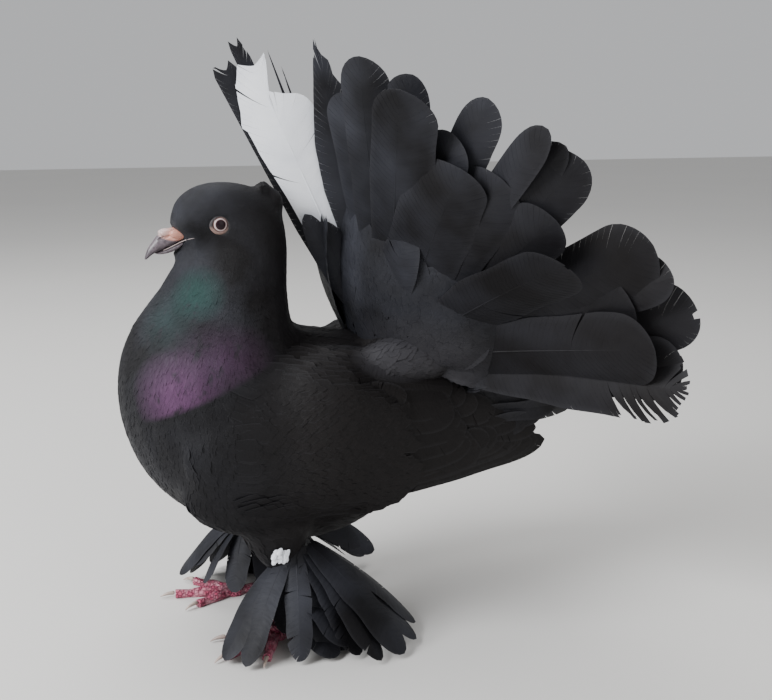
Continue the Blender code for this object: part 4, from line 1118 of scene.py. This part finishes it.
# Feathers at the side of the tail's root, over the folded wing: root x, root z, tip x, tip z
tailSide = [
    (66, 102, 124, 104), (66, 107, 133, 108), (66, 112, 140, 112), (66, 117, 147, 116), (64, 121, 150, 120),
    (60, 125, 143, 126), (58, 129, 128, 131)]
# Feathers under the tail: how many, root x, root z, length, half width, rise, spread across
undertailRows = [
    (10, 62, 80, 62, 10.0, 0.18, 27),
    (10, 66, 88, 74, 10.5, 0.13, 27),
    (9, 70, 97, 90, 10.5, 0.06, 26),
    (8, 72, 106, 92, 10.5, 0.02, 22),
    (8, 70, 114, 86, 10.5, 0.05, 20),
]


def undertailList():
    source = random.Random(11)
    made = []
    for count, x, z, length, width, rise, spread in undertailRows:
        for i in range(count):
            f = 2 * i / (count - 1) - 1
            run = unit(np.array([1.0, 0.13 * f, rise + source.uniform(-0.03, 0.03)]))
            normal = (0.0, math.sin(0.9 * f), -math.cos(0.9 * f))
            root = np.array([x - 4 * abs(f), spread * f, z + 7 * f * f])
            tip = root + run * length * source.uniform(0.9, 1.06)
            made.append(curvedFeather(root, tip, normal, width, 0.03, wear=0.05, curl=-0.1, bare=0.0,
                                      tipAt=0.72, shaft=0.7, camber=0.2))
    for side, (x, z, tipX, tipZ) in itertools.product(sides.values(), tailSide):
        deep = 31 + source.uniform(-1, 1)
        made.append(curvedFeather((x, side * deep, z), (tipX, side * (deep + 6), tipZ), (0.0, side, 0.25), 8.5,
                                  0.02, wear=0.04, bare=0.0, tipAt=0.76, shaft=0.6, camber=0.14))
    return made


layFeathers("undertail_feathers", undertailList(), vanePaint, 16, 3, "undertail")
print("tail: done")

# Tiers laid from the tip forward: how many, first root, first tip, last root, last tip (x, z), half width,
# lift at the first tip and the last, lift at the root, tilt
wingTiers = {
    "primaries": (10, (26, 76), (138, 89), (36, 92), (98, 99), 7.2, 0.2, 5.4, -1.2, 0.036),
    "tertials": (7, (20, 118), (128, 97), (22, 138), (78, 126), 8.0, 4.6, 4.0, -1.2, 0.072),
    "secondaries": (12, (8, 80), (92, 93), (4, 126), (74, 121), 7.6, 5.4, 4.2, -1.2, 0.072),
    "greater_coverts": (12, (-4, 73), (50, 82), (2, 130), (50, 126), 8.0, 4.4, 4.2, -1.6, 0.072),
}


def wingList(side):
    source = random.Random(21)
    made = []
    for tier, (count, rootA, tipA, rootB, tipB, width, liftA, liftB, sunk, tilt) in wingTiers.items():
        wear, tipAt, shaft = (0.22, 0.66, 0.5) if tier == "greater_coverts" else (0.10, 0.84, 0.9)
        for f in np.linspace(0, 1, count):
            root = np.array(rootA) * (1 - f) + np.array(rootB) * f
            tip = np.array(tipA) * (1 - f) + np.array(tipB) * f
            root = root + [source.uniform(-1.2, 1.2), source.uniform(-0.8, 0.8)]
            tip = tip + [source.uniform(-2.0, 2.0), source.uniform(-1.2, 1.2)]
            s = np.linspace(0, 1, featherSteps)
            x = root[0] + (tip[0] - root[0]) * s
            z = root[1] + (tip[1] - root[1]) * s - np.sin(math.pi * s)
            y = wingSurface(x, z) + sunk + (liftA + (liftB - liftA) * f - sunk) * s
            made.append({"path": np.stack([x, side * y, z], axis=1), "normals": wingNormals(x, z, side, tilt),
                         "half": width * source.uniform(0.94, 1.06), "wear": wear, "tipAt": tipAt,
                         "shaft": shaft, "bare": 0.0})
    return made


# The shoulder's small feathers lie over the first long ones: from x to x, where they leave the skin for the
# wing, gap between them, length, half width, height over the skin in front and over the wing behind
shawl = {"x": (-34, 46), "join": (-18, 16), "gap": 3.3, "length": 15.0, "half": 3.8, "front": 0.7, "back": 5.3}


def shawlY(x, z, side):
    low, high = wingRead(x, 1, 2)
    wing = wingSurface(x, z)
    skinY = [skinOutside(a, b, side) for a, b in zip(x, z)]
    under = np.array([w - 1.0 if y is None else y for y, w in zip(skinY, wing)]) + shawl["front"]
    over, top = fade(x, *shawl["join"]), fade(high + 1 - z, 0, 16)
    below = np.maximum(fade(z, low - 2, low + 14), fade(x, 8, 28))
    share = over * over * (3 - 2 * over) * top * top * (3 - 2 * top) * below
    return under + (np.maximum(wing + shawl["back"], under) - under) * share


def plantShawl(name, side):
    numbers = np.random.default_rng(77)
    paths, normals, sizes = [], [], []
    s = np.array([0, 0.34, 0.68, 1.0])
    for x in np.arange(*shawl["x"], shawl["gap"]):
        low, high = wingRead(x, 1, 2)
        for z in np.arange(low + 3 + 0.13 * max(x, 0), high + 1 - 0.08 * max(x, 0), shawl["gap"]):
            if numbers.random() < (x - 30) / 18:  # thinner towards the back
                continue
            rootX = x + numbers.uniform(-1.7, 1.7)
            rootZ = z + numbers.uniform(-1.7, 1.7)
            droop = 0.16 - 0.40 * fade(rootZ, low, high) + numbers.uniform(-0.10, 0.10)
            length = shawl["length"] * numbers.uniform(0.82, 1.15)
            px = rootX + s * length * math.cos(droop)
            pz = rootZ + s * length * math.sin(droop)
            paths.append(np.stack([px, side * (shawlY(px, pz, side) + 0.7 * s), pz], axis=1))
            normals.append(wingNormals(px, pz, side))
            sizes.append(shawl["half"] * numbers.uniform(0.85, 1.15))
    path = np.array(paths) * mm + shiftRow
    plantTufts(name, bodyTuft, path, np.array(normals), np.array(sizes) * mm, numbers, coatPaint)


for name, side in sides.items():
    layFeathers("wing_feathers_" + name, wingList(side), coatPaint, 24, 3, "wing_" + name)
for name, side in sides.items():
    plantShawl("shoulder_coat_" + name, side)
print("wings: done")

# Long foot feathers: tip x, distance from the middle, tip z, half width, wear, root height, and a roll for some
muffTips = {
    "left": [
        (-43, 50, 2.5, 7.6, 0.03, 44, 0.3), (-37, 39, 7.0, 6.4, 0.05, 40, 0.3), (-24, 34, 7.0, 7.4, 0.05, 46),
        (-24, 14, 9.0, 6.5, 0.05, 40), (0, 10, 7.0, 7.0, 0.05, 42), (-29, 46, 8.0, 7.2, 0.05, 47, 0.2),
        (-12, 47, 10, 7.8, 0.06, 50), (0, 50, 10, 8.6, 0.08, 50), (9, 58, 3.0, 9.6, 0.20, 50),
        (20, 67, 2.5, 8.6, 0.35, 46), (28, 76, 2.5, 8.0, 0.10, 48), (41, 73, 2.5, 9.6, 0.04, 50),
        (52, 61, 3.0, 9.2, 0.06, 47), (57, 47, 5.0, 9.0, 0.06, 50), (54, 34, 8.0, 8.6, 0.08, 47),
        (44, 22, 11, 7.5, 0.08, 50), (-35, 60, 2.5, 6.4, 0.10, 46, 0.2), (-9, 64, 2.5, 6.6, 0.15, 48)],
    "right": [
        (-42, 36, 18, 7.0, 0.06, 42, 0.8), (-48, 42, 11, 7.6, 0.05, 44, 0.5),
        (-38, 25, 11, 6.8, 0.08, 40, -0.5), (-24, 14, 8.0, 7.0, 0.06, 42, -0.4), (-4, 11, 7.0, 7.4, 0.06, 44),
        (18, 12, 8.0, 7.4, 0.06, 46), (-38, 58, 4.0, 7.8, 0.04, 46), (-22, 70, 3.0, 8.6, 0.05, 48),
        (-2, 77, 2.5, 9.4, 0.05, 50), (18, 76, 2.5, 9.2, 0.05, 48), (36, 68, 2.5, 9.4, 0.04, 50),
        (52, 57, 3.0, 9.2, 0.05, 48), (62, 47, 6.0, 9.0, 0.05, 50, -0.9),
        (64, 36, 12, 9.0, 0.06, 48, -1.2), (52, 26, 20, 8.0, 0.06, 50, -1.2)],
}
# Fill under and over them: how many, first and last turn from straight ahead, root z, reach, tip z, half width,
# arch
muffFill = [
    (6, 108, 186, 14, 40, 1.6, 8.6, 4.0),
    (6, 116, 190, 28, 40, 6.0, 8.4, 5.0),
]


def muffFeather(name, tip, rootZ, arch, width, wear, source, roll=0.0):
    x, y = footPlace[name]
    # the shank leans back as it rises, and the feathers leave it further out near the thigh
    legX = x + 0.28 * (min(rootZ, 36.0) - 8.0) + 0.25 * max(rootZ - 36.0, 0.0)
    out = 3.4 + 3.0 * min(max((rootZ - 30.0) / 16.0, 0.0), 1.3)
    flat = np.array([tip[0] - legX, sides[name] * (tip[1] - y), 0.0])
    reach = np.linalg.norm(flat)
    run = flat / reach
    s = np.linspace(0, 1, featherSteps)
    path = np.array([legX, sides[name] * y, rootZ]) + np.outer(out + s * (reach - out), run)
    path[:, 2] += (tip[2] - rootZ) * s + arch * np.sin(math.pi * s)
    slope = np.gradient(path[:, 2], s * (reach - out))
    level = np.array([-run[1], run[0], 0.0]) * (roll + source.uniform(-0.22, 0.22))
    normals = unit(np.array([0.0, 0.0, 1.0]) - np.outer(slope, run) + level)
    return {"path": path, "normals": normals, "half": width, "wear": wear, "tipAt": 0.72, "bare": 0.0,
            "shaft": 0.6, "camber": 0.14, "wave": 0.04}


def muffList(name):
    source = random.Random(31)
    made = []
    for tipX, tipY, tipZ, width, wear, rootZ, *roll in muffTips[name]:
        made.append(muffFeather(name, (tipX, tipY, tipZ), rootZ, 4.0, width, wear, source, *roll))
    x, y = footPlace[name]
    for count, first, last, rootZ, reach, tipZ, width, arch in muffFill:
        for i in range(count):
            turn = math.radians(first + (last - first) * i / (count - 1) + source.uniform(-4, 4))
            length = reach * source.uniform(0.85, 1.1)
            tip = (x + 7 - length * math.cos(turn), y + length * math.sin(turn), tipZ + source.uniform(0, 2))
            made.append(muffFeather(name, tip, rootZ, arch, width * source.uniform(0.9, 1.1), 0.08, source))
    return made


for name in sides:
    layFeathers("muff_" + name, muffList(name), vanePaint, 22, 3, "shank_" + name)

# A few white feathers at the front of the near leg: how many, from x and z, over how far
legPatch = {"count": 18, "from": (-14.0, 53.0), "over": (7.0, -4.0), "half": 1.3, "wear": 0.8}


def legPatchList():
    source = random.Random(8)
    made = []
    for i in range(legPatch["count"]):
        x, z = (start + run * source.random() for start, run in zip(legPatch["from"], legPatch["over"]))
        y = -(skinOutside(x, z, -1.0) or 34.0) - 1.4
        tip = (x + source.uniform(-4, 1.5), y - 1.0, z + source.uniform(-6, -3))
        made.append(curvedFeather((x, y, z), tip, (-0.3, -0.9, 0.3), legPatch["half"], 0.10,
                                  wear=legPatch["wear"], bare=0.0, tipAt=0.7, shaft=0.12, camber=0.15))
    return made


layFeathers("white_leg_feathers", legPatchList(), whitePaint, 12, 3)


def makeToePaint():
    paint = Paint("toe_skin", Specular_IOR_Level=0.45, Coat_Weight=0.1, Coat_Roughness=0.35,
                  Subsurface_Weight=0.08, Subsurface_Radius=(0.002, 0.0008, 0.0006))
    cells = paint.add("ShaderNodeTexVoronoi", {"feature": "DISTANCE_TO_EDGE"}, Vector=paint.objectPlace,
                      Scale=560.0)
    edge = paint.fade(cells.outputs["Distance"], 0.02, 0.16)
    colour = paint.mix(edge, (0.17, 0.020, 0.050), (0.46, 0.085, 0.155))
    colour = paint.mix(paint.fade(paint.noise(300.0, 2.0), 0.45, 0.70, 0.8), colour, (0.62, 0.30, 0.36))
    return paint.finish(colour, edge, -0.15, 0.55, edge, 0.8, 0.0006)


def makeClawPaint():
    paint = Paint("claw_horn", Specular_IOR_Level=0.5, Coat_Weight=0.15, Coat_Roughness=0.3)
    drift = paint.noise(420.0, 4.0)
    colour = paint.mix(paint.fade(drift, 0.35, 0.7), (0.30, 0.24, 0.21), (0.51, 0.408, 0.357))
    colour = paint.mix(paint.blob((-40, 0, 1), (6, 60, 4), 0.6), colour, (0.16, 0.12, 0.11))
    return paint.finish(colour, drift, 0.25, 0.25, paint.noise(900.0, 2.0), 0.25, 0.0003)


toePaint = makeToePaint()
clawPaint = makeClawPaint()
for name in sides:
    foot = copyOf("toes_" + name, "foot_" + name)
    remould(foot, 0.45, 3)
    finishPiece(foot, toePaint, "toe_skin", "foot_" + name)
    for number in range(1, 5):
        claw = copyOf("claw_horn_%s_%d" % (name, number), "claw_%s_%d" % (name, number))
        modify(claw, "SUBSURF", levels=2, render_levels=2)
        bpy.ops.object.shade_smooth()
        finishPiece(claw, clawPaint, "claw_horn", "claw_%s_%d" % (name, number))
print("feet: done")


def makeBillPaint():
    paint = Paint("bill_horn", Specular_IOR_Level=0.5, Coat_Weight=0.2, Coat_Roughness=0.35)
    grain = paint.noise(500.0, 4.0)
    horn = paint.mix(paint.fade(grain, 0.35, 0.75), (0.060, 0.046, 0.055), (0.125, 0.098, 0.115))
    horn = paint.mix(paint.blob((-65.5, 0, 192), (7, 6, 6), 0.5), horn, (0.045, 0.036, 0.045))
    # the cere: bare skin with a chalky front
    bare = paint.mix(paint.fade(paint.noise(700.0, 3.0), 0.4, 0.7, 0.6), (0.44, 0.19, 0.14), (0.54, 0.30, 0.24))
    bare = paint.mix(paint.blob((-57.5, 0, 205.0), (5.0, 8, 4.5), 0.7), bare, (0.42, 0.37, 0.37))
    cere = paint.fade(paint.blob((-50.0, 0, 204.8), (11.5, 14, 6.0), 0.5), 0.36, 0.50)
    colour = paint.mix(cere, horn, bare)
    return paint.finish(colour, grain, 0.25, 0.30, paint.noise(1100.0, 3.0), 0.3, 0.0003)


def makeEyePaint():
    # dark pupil, thin pearl ring, dark outside, read from the distance to the eye's own axis
    paint = Paint("eye_glass", Specular_IOR_Level=0.12, Coat_Weight=0.10, Coat_Roughness=0.04)
    split = paint.add("ShaderNodeSeparateXYZ", Vector=paint.objectPlace)
    centre = place(*eyePlace)
    dx = paint.math("SUBTRACT", split.outputs[0], centre.x)
    dz = paint.math("SUBTRACT", split.outputs[2], centre.z)
    away = paint.math("SQRT", paint.scale(dx, dx, paint.scale(dz, dz)))
    wobble = paint.scale(away, 1 / (5.0 * mm), paint.scale(paint.noise(900.0, 2.0), 0.04))
    colour = paint.ramp(
        wobble, (0.0, (0.010, 0.004, 0.007)), (0.47, (0.014, 0.006, 0.009)), (0.52, (0.26, 0.17, 0.17)),
        (0.55, (0.48, 0.40, 0.39)), (0.61, (0.52, 0.43, 0.42)), (0.66, (0.10, 0.05, 0.045)))
    return paint.finish(colour, paint.noise(600.0), 0.1, 0.12)


def makeLidPaint():
    paint = Paint("bare_eye_skin", Specular_IOR_Level=0.4, Subsurface_Weight=0.05,
                  Subsurface_Radius=(0.001, 0.0005, 0.0004))
    bumps = paint.add("ShaderNodeTexVoronoi", Vector=paint.objectPlace, Scale=1500.0)
    grain = paint.ramp(bumps.outputs["Distance"], (0.1, 1.0), (0.6, 0.0))
    below = paint.fade(paint.blob((-32.6, 0, 203.6), (8, 60, 5.2), 0.6), 0.1, 0.6, 0.9)
    colour = paint.mix(grain, (0.030, 0.027, 0.030), (0.055, 0.045, 0.045))
    colour = paint.mix(below, colour, (0.26, 0.17, 0.145))
    rim = paint.mix(grain, (0.13, 0.075, 0.07), (0.26, 0.16, 0.14))
    inner = paint.fade(paint.blob((-31.5, 0, 208.5), (6.0, 60, 6.0), 0.5), 0.56, 0.62)
    return paint.finish(paint.mix(inner, colour, rim), grain, -0.1, 0.6, grain, 0.7, 0.0003)


def makeGapePaint():
    paint = Paint("mouth_edge", Specular_IOR_Level=0.35)
    grain = paint.noise(800.0, 3.0)
    return paint.finish(paint.mix(grain, (0.30, 0.24, 0.23), (0.46, 0.39, 0.37)), grain, 0.15, 0.5)


# Bill from its tip to the corner of the mouth: x, top z, bottom z, half width
upperBill = np.array([
    (-65.5, 192.0, 191.4, 0.25), (-65.0, 193.9, 191.2, 0.8), (-64.0, 196.3, 191.9, 1.5),
    (-62.8, 198.2, 193.0, 2.1), (-61.5, 199.8, 193.9, 2.6), (-59.5, 202.4, 194.9, 3.2),
    (-57.5, 204.2, 195.7, 3.7), (-55.5, 205.4, 196.6, 4.2), (-53.0, 206.2, 197.7, 5.0),
    (-50.0, 206.5, 199.3, 6.0), (-47.5, 206.2, 200.6, 6.6), (-45.0, 205.4, 201.5, 6.4),
    (-43.0, 204.6, 202.2, 5.0)])
lowerBill = np.array([
    (-60.6, 194.6, 194.2, 0.4), (-60.0, 194.8, 193.9, 1.0), (-59.0, 195.0, 193.7, 1.7),
    (-57.0, 195.8, 193.7, 2.5), (-55.0, 196.7, 194.0, 3.3), (-52.5, 197.9, 194.7, 4.1),
    (-50.0, 199.2, 196.0, 4.7), (-47.5, 200.5, 197.8, 5.0), (-45.0, 201.4, 199.8, 4.8),
    (-43.0, 202.1, 201.0, 4.0)])
cereLobes = [((-54.0, 2.9, 204.0), (4.4, 1.9, 1.8)), ((-49.5, 5.3, 203.7), (4.4, 1.7, 2.4))]
nostril = {"x": -56.6, "z": 201.9, "slope": 0.25, "long": 2.4, "high": 0.65, "deep": 0.9}
billAround = 24


def loftBill(name, stations):
    turn = np.arange(billAround) * 2 * math.pi / billAround
    across = np.sign(np.cos(turn)) * np.abs(np.cos(turn)) ** 0.8
    rise = np.where(np.sin(turn) > 0, 0.35 + 0.65 * np.sin(turn), 0.35 * (1 + np.sin(turn)))
    rings = []
    for x, top, bottom, width in stations:
        if x > -46.0:  # from here on it lies under the skin
            width = min(width, (skinOutside(x, bottom * 0.6 + top * 0.4, -1.0) or 0.0) - 0.8)
        rings.append(np.stack([np.full(billAround, x), width * across, bottom + (top - bottom) * rise], axis=1))
    rings = np.array(rings)
    points = np.concatenate([rings.reshape(-1, 3), [rings[0].mean(0), rings[-1].mean(0)]]) * mm + shiftRow
    index = np.arange(len(points) - 2).reshape(-1, billAround)
    faces = tubeFaces(index).tolist()
    for first, last, after in zip(index[0], index[-1], np.roll(np.arange(billAround), -1)):
        faces.append((len(points) - 2, int(index[0, after]), int(first)))
        faces.append((len(points) - 1, int(last), int(index[-1, after])))
    mesh = bpy.data.meshes.new(name)
    mesh.from_pydata(points.tolist(), [], faces)
    bill = newPiece(name, mesh)
    editAll(bill, lambda: bpy.ops.mesh.normals_make_consistent(inside=False))
    return bill


billPaint = makeBillPaint()
upper = loftBill("upper_bill", upperBill)
lobes = [addBall((x, side * y, z), radii) for (x, y, z), radii in cereLobes for side in (-1, 1)]
only(upper, *lobes)
bpy.ops.object.join()
remould(upper, 0.28, 5)
# nostrils: a slit pressed in under each front lobe
points = toBird(readPoints(upper))
offX = points[:, 0] - nostril["x"]
offZ = points[:, 2] - nostril["z"] - nostril["slope"] * offX
slit = (offX / nostril["long"]) ** 2 + (offZ / nostril["high"]) ** 2
points[:, 1] -= np.sign(points[:, 1]) * nostril["deep"] * np.exp(-slit ** 2) * (np.abs(points[:, 1]) > 1.5)
writePoints(upper, points * mm + shiftRow)
finishPiece(upper, billPaint, "bill_horn", "bill_upper")
lower = loftBill("lower_bill", lowerBill)
remould(lower, 0.28, 4)
finishPiece(lower, billPaint, "bill_horn", "bill_lower")

# The mouth's pale edge runs back to its corner: x, z
mouthLine = [
    (-57.0, 195.9), (-55.0, 196.8), (-52.5, 198.0), (-50.0, 199.4), (-47.0, 200.8), (-44.8, 201.7),
    (-43.4, 202.2)]
gapePaint = makeGapePaint()
for name, side in sides.items():
    mouth = bpy.data.curves.new("mouth_edge_" + name, "CURVE")
    mouth.dimensions = "3D"
    mouth.bevel_depth = 0.19 * mm
    mouth.bevel_resolution = 3
    mouth.use_fill_caps = True
    line = mouth.splines.new("NURBS")
    line.points.add(len(mouthLine) - 1)
    line.use_endpoint_u = True
    line.order_u = 4
    for i, (x, z) in enumerate(mouthLine):
        wide = float(np.interp(x, upperBill[:, 0], upperBill[:, 3]))
        if x > -47.0:
            wide = max(wide, (skinOutside(x, z, side) or 0.0) + 0.25)
        line.points[i].co = (*place(x, side * wide, z), 1.0)
        line.points[i].radius = 0.5 + 0.6 * math.sin(math.pi * (i + 0.6) / len(mouthLine))
    newPiece("mouth_edge_" + name, mouth)
    bpy.ops.object.convert(target="MESH")
    bpy.ops.object.shade_smooth()
    finishPiece(bpy.context.object, gapePaint, "bill_horn")

eyeSettings = {
    "radius": 5.0,
    "lidRadius": 4.1,
    "lidThick": 0.85,
    "lidInner": 3.45,
    "lidProud": 3.35,
    "lidSlope": 0.42,
}
eyePaint = makeEyePaint()
lidPaint = makeLidPaint()
for name, side in sides.items():
    x, y, z = eyePlace[0], side * abs(eyePlace[1]), eyePlace[2]
    bpy.ops.mesh.primitive_uv_sphere_add(segments=48, ring_count=32, radius=eyeSettings["radius"] * mm,
                                         location=place(x, y, z), rotation=(math.radians(90), 0, 0))
    eyeball = bpy.context.object
    eyeball.name = "eyeball_" + name
    settle(eyeball)
    bpy.ops.object.shade_smooth()
    finishPiece(eyeball, eyePaint, "eye", "eye_" + name)
    # the lids: a ring a little longer than high that slopes back from the eye
    bpy.ops.mesh.primitive_torus_add(major_radius=eyeSettings["lidRadius"] * mm,
                                     minor_radius=eyeSettings["lidThick"] * mm, major_segments=40,
                                     minor_segments=14, rotation=(math.radians(90), 0, 0))
    lid = bpy.context.object
    lid.name = "lid_" + name
    settle(lid)
    ring = readPoints(lid) / mm
    away = np.hypot(ring[:, 0], ring[:, 2])
    spin = np.arctan2(ring[:, 2], ring[:, 0])
    ring[:, 0] *= 1 + 0.10 * np.cos(2 * spin) - 0.05 * np.sin(spin)
    ring[:, 2] *= 1 + 0.03 * np.cos(3 * spin)
    ring[:, 1] *= 0.8
    ring[:, 1] += side * (eyeSettings["lidProud"] - eyeSettings["lidSlope"] * (away - eyeSettings["lidInner"]))
    writePoints(lid, (ring + [x, y, z]) * mm + shiftRow)
    bpy.ops.object.shade_smooth()
    finishPiece(lid, lidPaint, "plumage")
print("head: done")

bpy.ops.mesh.primitive_plane_add(size=9.0, location=(0, 0, 0))
floor = bpy.context.object
floor.name = "floor"
floorPaint = Paint("pale_floor", Specular_IOR_Level=0.2)
grain = floorPaint.noise(3.0, 4.0)
tone = stageSettings["floorColour"]
floor.data.materials.append(
    floorPaint.finish(floorPaint.mix(grain, tone, tuple(c * 1.06 for c in tone)), grain, 0.05, 0.75))
